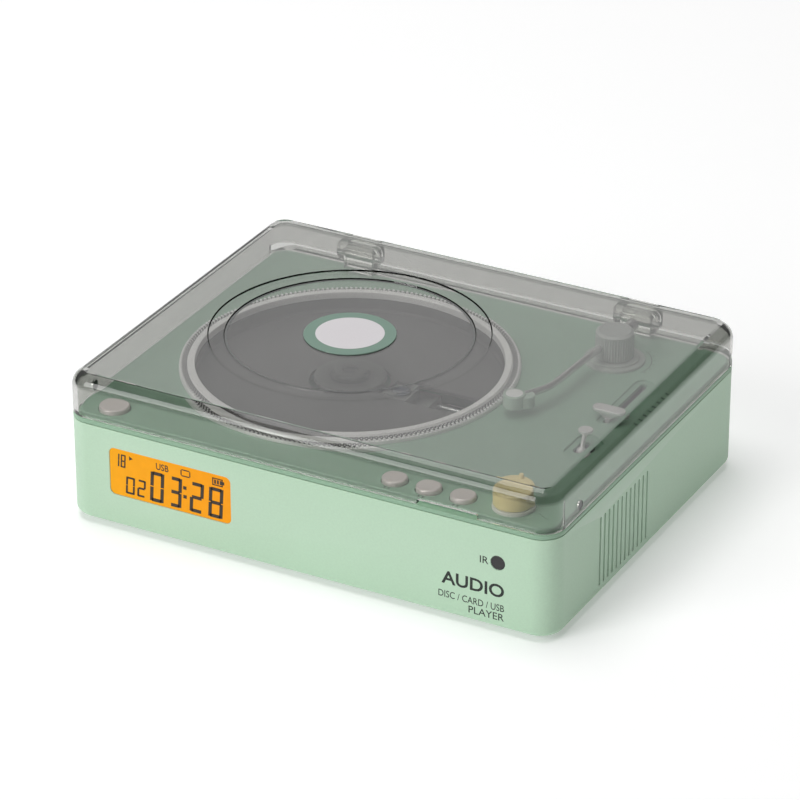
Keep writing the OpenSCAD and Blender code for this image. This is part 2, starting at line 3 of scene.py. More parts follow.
import bmesh
import bpy
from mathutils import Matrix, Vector


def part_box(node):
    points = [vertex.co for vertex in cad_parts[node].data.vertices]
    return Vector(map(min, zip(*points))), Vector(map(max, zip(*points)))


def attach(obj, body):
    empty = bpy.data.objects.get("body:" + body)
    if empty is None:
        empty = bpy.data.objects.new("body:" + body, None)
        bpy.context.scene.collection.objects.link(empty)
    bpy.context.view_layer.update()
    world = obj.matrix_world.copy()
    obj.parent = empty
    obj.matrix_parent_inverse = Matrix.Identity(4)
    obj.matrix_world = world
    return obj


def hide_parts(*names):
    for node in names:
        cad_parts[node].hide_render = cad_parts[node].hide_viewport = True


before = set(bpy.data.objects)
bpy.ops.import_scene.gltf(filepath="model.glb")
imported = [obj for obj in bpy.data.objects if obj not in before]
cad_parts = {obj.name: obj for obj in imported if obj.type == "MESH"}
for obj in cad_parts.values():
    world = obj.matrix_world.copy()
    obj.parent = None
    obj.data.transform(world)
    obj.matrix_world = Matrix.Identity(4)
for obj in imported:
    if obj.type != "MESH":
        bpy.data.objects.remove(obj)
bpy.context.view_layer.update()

MM = 0.001

# ---------------------------------------------------------------- studio
# A white floor, lit by a soft light from the front left and a wide one overhead. A dim screen
# behind the player is mirrored in its lid. The camera looks down on the front right corner.


def new_paint(name):
    paint = bpy.data.materials.new(name)
    paint.use_nodes = True
    return paint, paint.node_tree, paint.node_tree.nodes["Principled BSDF"]


bpy.ops.mesh.primitive_plane_add(size=12, location=(0, 0, 0))
floor = bpy.context.object
floor.name = "studio_floor"
floor_paint, _, floor_shader = new_paint("floor_paint")
floor_shader.inputs["Base Color"].default_value = (0.9, 0.9, 0.9, 1)
floor_shader.inputs["Roughness"].default_value = 0.9
floor_shader.inputs["Emission Color"].default_value = (1, 1, 1, 1)
floor_shader.inputs["Emission Strength"].default_value = 0.26
floor.data.materials.append(floor_paint)


def soft_light(name, place, size, power):
    bpy.ops.object.light_add(type="AREA", location=place)
    lamp = bpy.context.object
    lamp.name = name
    lamp.data.shape = "RECTANGLE"
    lamp.data.size, lamp.data.size_y = size
    lamp.data.energy = power
    aim = Vector((0, 0, 0.03)) - Vector(place)
    lamp.rotation_euler = aim.to_track_quat("-Z", "Y").to_euler()


soft_light("key_light", (-0.9, -2.0, 1.2), (1.2, 1.2), 27)
soft_light("top_light", (-0.3, 0.0, 2.2), (1.6, 1.6), 30)
soft_light("back_screen", (-0.84, 1.56, 0.95), (1.3, 0.9), 4.0)
world = bpy.data.worlds.new("studio_white")
world.use_nodes = True
world.node_tree.nodes["Background"].inputs["Color"].default_value = (1, 1, 1, 1)
world.node_tree.nodes["Background"].inputs["Strength"].default_value = 0.10
bpy.context.scene.world = world
bpy.context.scene.view_settings.view_transform = "Standard"

eye = Vector((0.70506, -1.32292, 0.82477))
look = Vector((-0.4181, 0.78133, -0.46337))
bpy.ops.object.camera_add(location=eye)
camera = bpy.context.object
camera.rotation_euler = look.to_track_quat("-Z", "Y").to_euler()
camera.data.sensor_width = 36
camera.data.lens = 186.45
bpy.context.scene.camera = camera

# ---------------------------------------------------------------- case
# The case is one deep moulding in pale mint plastic with round corners, 12 vent slots in each
# side, and openings for the display, the infrared dot and the sockets at the back.


def only(obj):
    """Selects one object and nothing else."""
    bpy.ops.object.select_all(action="DESELECT")
    bpy.context.view_layer.objects.active = obj
    obj.select_set(True)


def edit(obj):
    only(obj)
    bpy.ops.object.mode_set(mode="EDIT")


def leave():
    bpy.ops.object.mode_set(mode="OBJECT")


def pick_edges(obj, test):
    mesh = bmesh.from_edit_mesh(obj.data)
    bpy.ops.mesh.select_all(action="DESELECT")
    bpy.context.tool_settings.mesh_select_mode = (False, True, False)
    for edge in mesh.edges:
        if test(edge.verts[0].co, edge.verts[1].co):
            edge.select_set(True)
    bmesh.update_edit_mesh(obj.data)


def pick_faces(obj, test):
    mesh = bmesh.from_edit_mesh(obj.data)
    bpy.ops.mesh.select_all(action="DESELECT")
    bpy.context.tool_settings.mesh_select_mode = (False, False, True)
    for face in mesh.faces:
        if test(face.calc_center_median(), face.normal):
            face.select_set(True)
    bmesh.update_edit_mesh(obj.data)


def settle(obj):
    """Puts the object's place into its mesh."""
    only(obj)
    bpy.ops.object.transform_apply(location=True, rotation=True, scale=True)


def named(name):
    """Names the shape that was just added and settles it."""
    obj = bpy.context.object
    obj.name = name
    settle(obj)
    return obj


def block(name, low, high):
    low, high = Vector(low), Vector(high)
    bpy.ops.object.select_all(action="DESELECT")
    bpy.ops.mesh.primitive_cube_add(size=1, location=(low + high) / 2)
    bpy.context.object.scale = high - low
    return named(name)


def round_uprights(obj, radius, steps=10, axis=2):
    """Bevels the edges that run along one axis."""
    edit(obj)
    pick_edges(obj, lambda a, b: abs((a - b)[axis]) > 0.9 * (a - b).length)
    bpy.ops.mesh.bevel(offset=radius, segments=steps, affect="EDGES")
    leave()


def slab(name, low, high, radius, axis=2, steps=10):
    obj = block(name, low, high)
    round_uprights(obj, radius, steps, axis)
    return obj


def plan_slab(name, low, high, inset, z0, z1, radius, steps=10):
    """A slab with the plan of low to high, drawn in by inset on every side."""
    return slab(name, (low.x + inset, low.y + inset, z0), (high.x - inset, high.y - inset, z1),
                radius, steps=steps)


def rod(name, along, centre, radius, start, end, steps=48):
    """A cylinder along X or Y. The centre holds its other two coordinates."""
    mid = (start + end) / 2
    spot = (mid, *centre) if along == "X" else (centre[0], mid, centre[1])
    turn = (0, math.pi / 2, 0) if along == "X" else (math.pi / 2, 0, 0)
    bpy.ops.object.select_all(action="DESELECT")
    bpy.ops.mesh.primitive_cylinder_add(vertices=steps, radius=radius, depth=abs(end - start),
                                        location=spot, rotation=turn)
    return named(name)


def apply_modifier(obj, kind, **settings):
    only(obj)
    modifier = obj.modifiers.new(kind.lower(), kind)
    for key, value in settings.items():
        setattr(modifier, key, value)
    bpy.ops.object.modifier_apply(modifier=modifier.name)


def join(pieces, name):
    bpy.ops.object.select_all(action="DESELECT")
    for piece in pieces:
        piece.select_set(True)
    bpy.context.view_layer.objects.active = pieces[0]
    if len(pieces) > 1:
        bpy.ops.object.join()
    pieces[0].name = name
    return pieces[0]


def cut(obj, cutters):
    cutter = join(cutters, "cutter")
    apply_modifier(obj, "BOOLEAN", object=cutter, operation="DIFFERENCE", solver="EXACT")
    bpy.data.objects.remove(cutter)


def smooth(angle=32):
    bpy.ops.object.shade_smooth_by_angle(angle=math.radians(angle))


def even_out(obj, angle=32):
    """Smooth shading that leaves the large faces flat."""
    only(obj)
    smooth(angle)
    apply_modifier(obj, "WEIGHTED_NORMAL", keep_sharp=True, weight=60)


def round_edges(obj, width, steps, angle):
    apply_modifier(obj, "BEVEL", width=width, segments=steps, limit_method="ANGLE",
                   angle_limit=math.radians(angle))


def soften(obj, width, steps=2, angle=30, even=32):
    """Rounds every sharp edge a little and smooths what is left."""
    round_edges(obj, width, steps, angle)
    even_out(obj, even)


def profile(r, z, *steps):
    """Rings near r and z, each shifted by its own step in millimetres."""
    return [(r + dr * MM, z + dz * MM) for dr, dz in steps]


def lathe(name, centre, rings, steps, closed):
    bpy.ops.object.select_all(action="DESELECT")
    bpy.ops.mesh.primitive_circle_add(vertices=steps, radius=rings[0][0],
                                      fill_type="NOTHING" if closed else "NGON",
                                      location=(*centre, rings[0][1]))
    obj = named(name)
    edit(obj)
    bpy.ops.mesh.select_all(action="SELECT")
    extrude = bpy.ops.mesh.extrude_edges_move if closed else bpy.ops.mesh.extrude_region_move
    for (r0, z0), (r1, z1) in zip(rings, rings[1:] + (rings[:1] if closed else [])):
        extrude(TRANSFORM_OT_translate={"value": (0, 0, z1 - z0)})
        bpy.ops.transform.resize(value=(r1 / r0, r1 / r0, 1), center_override=(*centre, z1))
    bpy.ops.mesh.select_all(action="SELECT")
    if closed:
        bpy.ops.mesh.remove_doubles(threshold=1e-6)
    bpy.ops.mesh.normals_make_consistent(inside=False)
    leave()
    return obj


def turned(name, centre, rings, steps=96):
    """A solid of revolution about Z: each ring is (radius, height)."""
    return lathe(name, centre, rings, steps, False)


def turned_ring(name, centre, rings, steps=128):
    """An annular solid about Z: the rings go once round its section."""
    return lathe(name, centre, rings, steps, True)


def ball(name, centre, radius, around=8):
    bpy.ops.object.select_all(action="DESELECT")
    bpy.ops.mesh.primitive_uv_sphere_add(segments=around, ring_count=around // 2, radius=radius,
                                         location=centre)
    return named(name)


def skin_group(name, **inputs):
    """A node group with these inputs that puts out a colour, a roughness and a height."""
    group = bpy.data.node_groups.new(name, "ShaderNodeTree")
    for label, kind in inputs.items():
        group.interface.new_socket(name=label, in_out="INPUT", socket_type="NodeSocket" + kind)
    for label, kind in (("Colour", "Color"), ("Roughness", "Float"), ("Height", "Float")):
        group.interface.new_socket(name=label, in_out="OUTPUT", socket_type="NodeSocket" + kind)
    return group, group.nodes.new("NodeGroupInput").outputs, group.nodes.new("NodeGroupOutput").inputs


def noise(tree, scale, detail, where):
    node = tree.nodes.new("ShaderNodeTexNoise")
    node.inputs["Scale"].default_value = scale
    node.inputs["Detail"].default_value = detail
    tree.links.new(where, node.inputs["Vector"])
    return node.outputs["Fac"]


def ranged(tree, value, low=0.0, high=1.0, start=0.0, end=1.0):
    """Maps start to end onto low to high."""
    node = tree.nodes.new("ShaderNodeMapRange")
    for label, number in (("From Min", start), ("From Max", end), ("To Min", low), ("To Max", high)):
        node.inputs[label].default_value = number
    tree.links.new(value, node.inputs["Value"])
    return node.outputs["Result"]


def times(tree, a, b):
    node = tree.nodes.new("ShaderNodeMath")
    node.operation = "MULTIPLY"
    tree.links.new(a, node.inputs[0])
    tree.links.new(b, node.inputs[1])
    return node.outputs[0]


def scaled(tree, colour, amount):
    """A colour made lighter or darker by another socket's value or by a plain number."""
    node = tree.nodes.new("ShaderNodeVectorMath")
    node.operation = "SCALE"
    tree.links.new(colour, node.inputs[0])
    if isinstance(amount, float):
        node.inputs["Scale"].default_value = amount
    else:
        tree.links.new(amount, node.inputs["Scale"])
    return node.outputs[0]


def moulded_group():
    """Fine spark-eroded grain, slow tone drift, and paler worn edges."""
    group, given, out = skin_group("moulded_skin", Colour="Color", Grain="Float", Wear="Float",
                                   Roughness="Float")
    links = group.links
    where = group.nodes.new("ShaderNodeTexCoord").outputs["Object"]
    grain = noise(group, 900, 3, where)
    links.new(given["Grain"], grain.node.inputs["Scale"])
    drift = noise(group, 18, 2, where)
    tone = times(group, ranged(group, drift, 0.965, 1.035), ranged(group, grain, 0.94, 1.06))
    edge = group.nodes.new("ShaderNodeNewGeometry").outputs["Pointiness"]
    worn = times(group, ranged(group, edge, start=0.52, end=0.62), given["Wear"])
    mix = group.nodes.new("ShaderNodeMix")
    mix.data_type = "RGBA"
    links.new(worn, mix.inputs["Factor"])
    links.new(scaled(group, given["Colour"], tone), mix.inputs["A"])
    mix.inputs["B"].default_value = (0.85, 0.9, 0.86, 1)
    links.new(mix.outputs["Result"], out["Colour"])
    links.new(times(group, given["Roughness"], ranged(group, drift, 0.85, 1.15)), out["Roughness"])
    links.new(grain, out["Height"])
    return group


def skinned(name, group, bump, depth, metal, coat, **values):
    """A material whose colour, roughness and relief come from a skin group with these values."""
    paint, tree, shader = new_paint(name)
    shader.inputs["Metallic"].default_value = metal
    shader.inputs["Coat Weight"].default_value = coat
    skin = tree.nodes.new("ShaderNodeGroup")
    skin.node_tree = group
    for label, value in values.items():
        skin.inputs[label].default_value = value
    relief = tree.nodes.new("ShaderNodeBump")
    relief.inputs["Strength"].default_value = bump
    relief.inputs["Distance"].default_value = depth * MM
    tree.links.new(skin.outputs["Height"], relief.inputs["Height"])
    tree.links.new(relief.outputs["Normal"], shader.inputs["Normal"])
    tree.links.new(skin.outputs["Colour"], shader.inputs["Base Color"])
    tree.links.new(skin.outputs["Roughness"], shader.inputs["Roughness"])
    return paint


moulded_skin = moulded_group()


def moulded(name, colour, rough=0.45, grain=900, bump=0.25, depth=0.05, wear=0.25, coat=0.0):
    """A plastic with the moulded_skin group's grain, drift and edge wear."""
    return skinned(name, moulded_skin, bump, depth, 0.0, coat, Colour=(*colour, 1), Grain=grain,
                   Wear=wear, Roughness=rough)


def place(obj, body, paint, slot, replaces=()):
    """Gives a finished piece its material and its body, and hides the nodes it stands for. The slot is
    not used.
    """
    obj.data.materials.clear()
    obj.data.materials.append(paint)
    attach(obj, body)
    if replaces:
        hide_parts(*replaces)
    return obj


CASE_MINT = moulded("case_mint", (0.485, 0.685, 0.505), rough=0.42, grain=1100, bump=0.35)
shell_low, shell_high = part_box("body_shell")
WALL = 2.2 * MM
CORNER = 10 * MM
PRINT_ROOM = 0.03 * MM
case = plan_slab("case", shell_low, shell_high, PRINT_ROOM, shell_low.z, shell_high.z, CORNER)
edit(case)
pick_edges(case, lambda a, b: max(a.z, b.z) < shell_low.z + 1e-5)
bpy.ops.mesh.bevel(offset=3 * MM, segments=6, affect="EDGES")
pick_faces(case, lambda c, n: abs(n.z) > 0.99)
bpy.ops.mesh.delete(type="FACE")
leave()
apply_modifier(case, "SOLIDIFY", thickness=WALL, offset=-1, use_even_offset=True)
window_low, window_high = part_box("display_window")
dot_low, dot_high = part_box("ir_window")
cutters = [slab("cut_window", (window_low.x, shell_low.y - 0.01, window_low.z),
                (window_high.x, shell_low.y + WALL + 0.001, window_high.z), 2.5 * MM, axis=1)]
screen_low, screen_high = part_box("vent_screens")
VENTS, VENT_PITCH, VENT_WIDTH = 12, 3.88 * MM, 1.2 * MM
vent_middle = (screen_low.y + screen_high.y) / 2
vent_low, vent_high = screen_low.z + 1.5 * MM, screen_high.z - 1.5 * MM
for side in (-1, 1):
    for i in range(VENTS):
        y = vent_middle + (i - (VENTS - 1) / 2) * VENT_PITCH
        ends = sorted((side * (shell_high.x - WALL - 0.001), side * (shell_high.x + 0.01)))
        cutters.append(slab("cut_vent", (ends[0], y - VENT_WIDTH / 2, vent_low),
                            (ends[1], y + VENT_WIDTH / 2, vent_high), 0.45 * MM, 0, 3))
cut(case, cutters)


dot_middle = ((dot_low.x + dot_high.x) / 2, (dot_low.z + dot_high.z) / 2)
dot_radius = (dot_high.x - dot_low.x) / 2
jack_low, jack_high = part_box("audio_jack")
jack_middle = ((jack_low.x + jack_high.x) / 2, (jack_low.z + jack_high.z) / 2)
back = shell_high.y
cutters = [rod("cut_dot", "Y", dot_middle, dot_radius, shell_low.y - 0.01, shell_low.y + 0.01, 64),
           rod("cut_jack", "Y", jack_middle, 3.2 * MM, back - 0.005, back + 0.01, 64)]
for node, radius in (("usb_a_socket", 0.3), ("usb_c_socket", 1.5), ("card_socket", 0.3)):
    low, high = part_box(node)
    cutters.append(slab("cut_" + node, (low.x, back - WALL - 0.001, low.z),
                        (high.x, back + 0.01, high.z), radius * MM, axis=1, steps=4))
cut(case, cutters)
soften(case, 0.25 * MM)
place(case, "chassis", CASE_MINT, "case_mint", ["body_shell"])

# ---------------------------------------------------------------- deck
# The deck closes the case: a thin mint band forms the rim that the lid rests on, and the deck
# stands a little above it inside the lid, with openings for the well and all the controls.
DECK_MINT = moulded("deck_mint", (0.245, 0.405, 0.295), rough=0.38, grain=1100, bump=0.25)
BAND_MINT = moulded("band_mint", (0.235, 0.41, 0.27), rough=0.38, grain=1100, bump=0.2)
deck_low, deck_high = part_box("top_deck")
deck_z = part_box("cd_bay")[1].z
rim_z = deck_z - 2 * MM
band = plan_slab("rim_band", deck_low, deck_high, 0, shell_high.z + 0.25 * MM, rim_z, CORNER)
soften(band, 0.3 * MM)
DECK_IN = 3 * MM
deck = plan_slab("deck", deck_low, deck_high, DECK_IN, rim_z - 0.2 * MM, deck_z, CORNER - DECK_IN)
edit(deck)
pick_edges(deck, lambda a, b: min(a.z, b.z) > deck_z - 1e-5)
bpy.ops.mesh.bevel(offset=0.8 * MM, segments=4, affect="EDGES")
leave()
ring_low, ring_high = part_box("strobe_ring")
axis = ((ring_low.x + ring_high.x) / 2, (ring_low.y + ring_high.y) / 2)


def middle(node):
    low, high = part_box(node)
    return (low.x + high.x) / 2, (low.y + high.y) / 2


def hole(centre, radius):
    return turned("cut_hole", centre, [(radius, rim_z - 0.02), (radius, deck_z + 0.01)], 72)


BUTTONS = ["power_button", "back_button", "play_button", "forward_button"]
FLANGE = 0.7 * MM
WELL_R, KNOB_HOLE = 66.2 * MM, 4.7 * MM
cutters = [hole(axis, WELL_R), hole(middle("volume_knob"), KNOB_HOLE),
           hole(middle("arm_flange"), 3.3 * MM)]
for node in BUTTONS:
    low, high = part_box(node)
    cutters.append(hole(middle(node), (high.x - low.x) / 2 - FLANGE + 0.3 * MM))


def long_hole(centre, width, length, z0, z1):
    x, y = centre
    return slab("cut_slot", (x - width / 2, y - length / 2, z0), (x + width / 2, y + length / 2, z1),
                width / 2 - 1e-5, steps=12)


track_low, track_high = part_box("fader_track")
fader_middle = ((track_low.x + track_high.x) / 2, (track_low.y + track_high.y) / 2)
slot_length = track_high.y - track_low.y - 6 * MM
toggle_middle = middle("toggle_housing")
cutters.append(long_hole(fader_middle, 3 * MM, slot_length, rim_z - 0.02, deck_z + 0.01))
cutters.append(long_hole(toggle_middle, 4.2 * MM, 10 * MM, rim_z - 0.02, deck_z + 0.01))
cut(deck, cutters)
cut(band, [hole(axis, WELL_R), plan_slab("cut_inside", deck_low, deck_high, 4 * MM, 0, 0.1, 6 * MM)])
cut(deck, [long_hole(fader_middle, 8 * MM, slot_length + 5 * MM, deck_z - 0.6 * MM, deck_z + 0.01),
           long_hole(toggle_middle, 9 * MM, 20 * MM, deck_z - 0.9 * MM, deck_z + 0.01)])
soften(deck, 0.2 * MM)
place(band, "chassis", BAND_MINT, "deck_mint")
place(deck, "chassis", DECK_MINT, "deck_mint", ["top_deck"])


# ---------------------------------------------------------------- printing on the front
# Short generic words are printed in near-black ink on the front, to the left of and under the
# infrared dot, and flush with the plastic.
INK = moulded("print_ink", (0.012, 0.018, 0.014), rough=0.5, grain=2600, bump=0.05, wear=0.0)
front_y = shell_low.y


def wording(name, text, right, foot, height, width=None, bold=0.0):
    """Text as a thin mesh on the front, its right end and its foot at the given places."""
    bpy.ops.object.select_all(action="DESELECT")
    bpy.ops.object.text_add(location=(0, 0, 0))
    obj = bpy.context.object
    obj.name = name
    obj.data.body = text
    obj.data.size = 1
    obj.data.extrude = 0.5
    obj.data.offset = bold
    obj.data.resolution_u = 4
    bpy.ops.object.convert(target="MESH")
    xs = [v.co.x for v in obj.data.vertices]
    ys = [v.co.y for v in obj.data.vertices]
    tall = height / (max(ys) - min(ys))
    wide = tall if width is None else width / (max(xs) - min(xs))
    obj.scale = (wide, tall, PRINT_ROOM)
    settle(obj)
    obj.rotation_euler = (math.pi / 2, 0, 0)
    obj.location = (right - max(xs) * wide, front_y + PRINT_ROOM / 2, foot - min(ys) * tall)
    settle(obj)
    return obj


words = [wording("print_ir", "IR", 82 * MM, 29.6 * MM, 3.1 * MM, 3.7 * MM, 0.004),
         wording("print_audio", "AUDIO", 88.9 * MM, 16.1 * MM, 5.8 * MM, 27.2 * MM, 0.02),
         wording("print_kinds", "DISC / CARD / USB", 89 * MM, 10 * MM, 3 * MM, 28.6 * MM, 0.002),
         wording("print_player", "PLAYER", 89 * MM, 5.9 * MM, 3.1 * MM, 15.4 * MM, 0.002)]
place(join(words, "front_print"), "chassis", INK, "ir_black")

# ---------------------------------------------------------------- underside
# A flat plate closes the bottom. Four screws hold it in counterbores near the corners, and four
# black rubber feet are pressed into it.
COVER_MINT = moulded("cover_mint", (0.47, 0.62, 0.5), rough=0.55, grain=800, bump=0.4)
plate_low, plate_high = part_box("bottom_cover")
EDGE_GAP = 1.1 * MM
plate = plan_slab("bottom_plate", plate_low, plate_high, EDGE_GAP, plate_low.z + 0.05 * MM,
                  plate_low.z + 2 * MM, 6 * MM)
screws_low, screws_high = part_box("case_screws")
SCREW_HEAD = 2.7 * MM
corners = [(x, y) for y in (screws_low.y + SCREW_HEAD, screws_high.y - SCREW_HEAD)
           for x in (screws_low.x + SCREW_HEAD, screws_high.x - SCREW_HEAD)]
cut(plate, [turned("cut_head", spot, [(2.85 * MM, -0.01), (2.85 * MM, plate_low.z + 1.05 * MM)], 48)
            for spot in corners])
soften(plate, 0.2 * MM)
place(plate, "chassis", COVER_MINT, "case_mint", ["bottom_cover"])

RUBBER = moulded("rubber_black", (0.03, 0.03, 0.032), rough=0.8, grain=1800, bump=0.6, wear=0.1)
feet_low, feet_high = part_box("rubber_feet")
FOOT = 7.5 * MM
feet = []
for x in (feet_low.x + FOOT, feet_high.x - FOOT):
    for y in (feet_low.y + FOOT, feet_high.y - FOOT):
        feet.append(turned("foot", (x, y),
                           [(5.6 * MM, 0.35 * MM)]
                           + profile(0, 0.0, (5.9, 0), (6.3, 0))
                           + [(6.7 * MM, 0.3 * MM), (FOOT, feet_high.z)], 64))
feet = join(feet, "feet")
soften(feet, 0.12 * MM)
place(feet, "chassis", RUBBER, "rubber_black", ["rubber_feet"])

# ---------------------------------------------------------------- display
# The display is a flush window at the left of the front: an amber back-lit panel with dark
# seven-segment digits and small icons on its face.


def amber_panel():
    """Back-lit amber that is a little yellower to the left."""
    paint, tree, shader = new_paint("lcd_amber")
    where = tree.nodes.new("ShaderNodeTexCoord").outputs["Object"]
    axes = tree.nodes.new("ShaderNodeSeparateXYZ")
    tree.links.new(where, axes.inputs[0])
    across = ranged(tree, axes.outputs["X"], start=window_low.x, end=window_high.x)
    blend = tree.nodes.new("ShaderNodeValToRGB")
    blend.color_ramp.elements[0].color = (1.0, 0.42, 0.006, 1)
    blend.color_ramp.elements[1].color = (1.0, 0.36, 0.004, 1)
    tree.links.new(across, blend.inputs["Fac"])
    glow = ranged(tree, noise(tree, 260, 2, where), 0.90, 1.02)
    lit = scaled(tree, blend.outputs["Color"], glow)
    tree.links.new(scaled(tree, lit, 0.5), shader.inputs["Base Color"])
    tree.links.new(lit, shader.inputs["Emission Color"])
    shader.inputs["Emission Strength"].default_value = 0.5
    shader.inputs["Roughness"].default_value = 0.6
    shader.inputs["Specular IOR Level"].default_value = 0.2
    return paint


AMBER = amber_panel()
SEGMENT = moulded("lcd_segment", (0.03, 0.018, 0.006), rough=0.4, grain=3000, bump=0.05, wear=0.0)
panel_y = window_low.y
panel = slab("display_panel", (window_low.x + 0.05 * MM, panel_y + 0.12 * MM, window_low.z + 0.05 * MM),
             (window_high.x - 0.05 * MM, window_high.y, window_high.z - 0.05 * MM), 2.45 * MM, axis=1)
soften(panel, 0.12 * MM)
place(panel, "chassis", AMBER, "lcd_amber", ["display_window"])
SPAN, RISE = window_high.x - window_low.x, window_high.z - window_low.z


def on_panel(u, v):
    """A place on the window: u from the left, v from the top, each 0 to 1."""
    return window_low.x + u * SPAN, window_high.z - v * RISE


def bar(x0, z0, x1, z1, lean=0.0, base=0.0):
    """A thin plate on the panel between two corners, leaning with the digits."""
    piece = block("bar", (min(x0, x1), panel_y + 0.02 * MM, min(z0, z1)),
                  (max(x0, x1), panel_y + 0.13 * MM, max(z0, z1)))
    for vertex in piece.data.vertices:
        vertex.co.x += (vertex.co.z - base) * lean
    return piece


LIT = {"0": "abcdef", "1": "bc", "2": "abged", "3": "abgcd", "8": "abcdefg"}
LEAN = 0.06


def digit(value, u0, u1, v0, v1, thick):
    """Seven-segment bars with small gaps between them."""
    left, top = on_panel(u0, v0)
    right, foot = on_panel(u1, v1)
    mid = (top + foot) / 2
    gap = thick * 0.16
    spots = {"a": (left + thick * 0.6, top - thick, right - thick * 0.6, top),
             "g": (left + thick * 0.6, mid - thick / 2, right - thick * 0.6, mid + thick / 2),
             "d": (left + thick * 0.6, foot, right - thick * 0.6, foot + thick),
             "f": (left, mid + gap, left + thick, top - gap),
             "b": (right - thick, mid + gap, right, top - gap),
             "e": (left, foot + gap, left + thick, mid - gap),
             "c": (right - thick, foot + gap, right, mid - gap)}
    return [bar(*spots[name], LEAN, foot) for name in LIT[value]]


bars = []
for value, u0, u1 in (("0", .328, .44), ("3", .487, .587), ("2", .656, .767), ("8", .81, .926)):
    bars += digit(value, u0, u1, .29, .94, 1.5 * MM)
for value, u0, u1 in (("0", .127, .20), ("2", .222, .29)):
    bars += digit(value, u0, u1, .55, .92, 0.85 * MM)
for value, u0, u1 in (("1", .05, .078), ("8", .09, .13)):
    bars += digit(value, u0, u1, .10, .38, 0.6 * MM)
for v in (.47, .66):
    x, z = on_panel(.622, v)
    bars.append(bar(x - 0.75 * MM, z - 0.75 * MM, x + 0.75 * MM, z + 0.75 * MM, LEAN, z))
x0, z0 = on_panel(.59, .08)
x1, z1 = on_panel(.67, .23)
LINE = 0.45 * MM
bars += [bar(x0 + LINE, z0 - LINE, x1 - LINE, z0), bar(x0 + LINE, z1, x1 - LINE, z1 + LINE),
         bar(x0, z1 + LINE, x0 + LINE, z0 - LINE), bar(x1 - LINE, z1 + LINE, x1, z0 - LINE)]
x0, z0 = on_panel(.85, .08)
x1, z1 = on_panel(.935, .24)
bars += [bar(x0, z0 - LINE, x1, z0), bar(x0, z1, x1, z1 + LINE), bar(x0, z1, x0 + LINE, z0),
         bar(x1 - LINE, z1, x1, z0), bar(x1, z1 + 1 * MM, x1 + 0.7 * MM, z0 - 1 * MM)]
for i in range(3):
    start = x0 + (0.9 + i * 1.3) * MM
    bars.append(bar(start, z1 + 0.8 * MM, start + 0.8 * MM, z0 - 0.8 * MM))
tip_x, tip_z = on_panel(.19, .145)
bpy.ops.object.select_all(action="DESELECT")
bpy.ops.mesh.primitive_cylinder_add(vertices=3, radius=1.1 * MM, depth=0.11 * MM,
                                    location=(tip_x - 0.9 * MM, panel_y + 0.075 * MM, tip_z),
                                    rotation=(math.pi / 2, math.pi / 2, 0))
bars.append(named("arrow"))
place(join(bars, "display_digits"), "chassis", SEGMENT, "lcd_glass")
usb_x, usb_z = on_panel(.49, .23)
usb_word = wording("display_usb", "USB", usb_x, usb_z, 3 * MM, 5.8 * MM, 0.01)
for vertex in usb_word.data.vertices:
    vertex.co.y += window_low.y - front_y + 0.06 * MM
place(usb_word, "chassis", SEGMENT, "lcd_glass")
IR_BLACK = moulded("ir_black", (0.012, 0.011, 0.012), rough=0.25, grain=2400, bump=0.05, wear=0.1)
dot = rod("infrared_dot", "Y", dot_middle, dot_radius - 0.02 * MM, dot_low.y, dot_high.y, 64)
soften(dot, 0.35 * MM, 3)
place(dot, "chassis", IR_BLACK, "ir_black", ["ir_window"])
PANE = moulded("lcd_glass", (0.30, 0.27, 0.18), rough=0.2, grain=1500, bump=0.05)
DIFFUSER = moulded("diffuser", (0.85, 0.78, 0.55), rough=0.6, grain=500, bump=0.1)

# ---------------------------------------------------------------- disc well and drive
# The well is a dark grey tray under the deck. A black hub with three steel balls grips the disc,
# and the pickup's lens rides in a slot in the tray. The drive hangs under it on rubber.
CHARCOAL = moulded("charcoal", (0.085, 0.08, 0.084), rough=0.4, grain=1300, bump=0.25, wear=0.1)
HUB_BLACK = moulded("hub_black", (0.05, 0.05, 0.052), rough=0.3, grain=1500, bump=0.15)
hub_low, hub_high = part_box("turntable_hub")
PIN = 7.4 * MM
seat = 45.7 * MM
hub = turned("hub", axis,
             [(1 * MM, hub_low.z)]
             + profile(0, 0, (1, 41.5), (6, 41.5), (6, 44.2), (14.6, 44.2), (15, 44.5))
             + profile(0, seat, (15, -0.3), (14.7, 0), (8.6, 0), (8.4, -0.25), (7.9, -0.25))
             + [(PIN, seat)]
             + profile(PIN, 0, (0, 47.0), (-0.3, 47.5))
             + [(PIN - 0.9 * MM, hub_high.z)]
             + profile(0, hub_high.z, (3.2, 0), (2.8, -0.5), (1.2, -0.5)), 96)
balls = []
BALL_AT = PIN - 1.35 * MM
for i in range(3):
    turn = i * math.tau / 3
    at = (axis[0] + BALL_AT * math.cos(turn), axis[1] + BALL_AT * math.sin(turn), hub_high.z - 1.5 * MM)
    balls.append(ball("cut_ball", at, 1.32 * MM, 24))
cut(hub, balls)
smooth()
place(hub, "disc_hub", HUB_BLACK, "charcoal", ["turntable_hub"])

# ---------------------------------------------------------------- dotted ring
# A bright ring stands around the well: a plain polished inner band, three fine rows of dots and
# an outer row of larger beads, like the speed marks on a record platter.


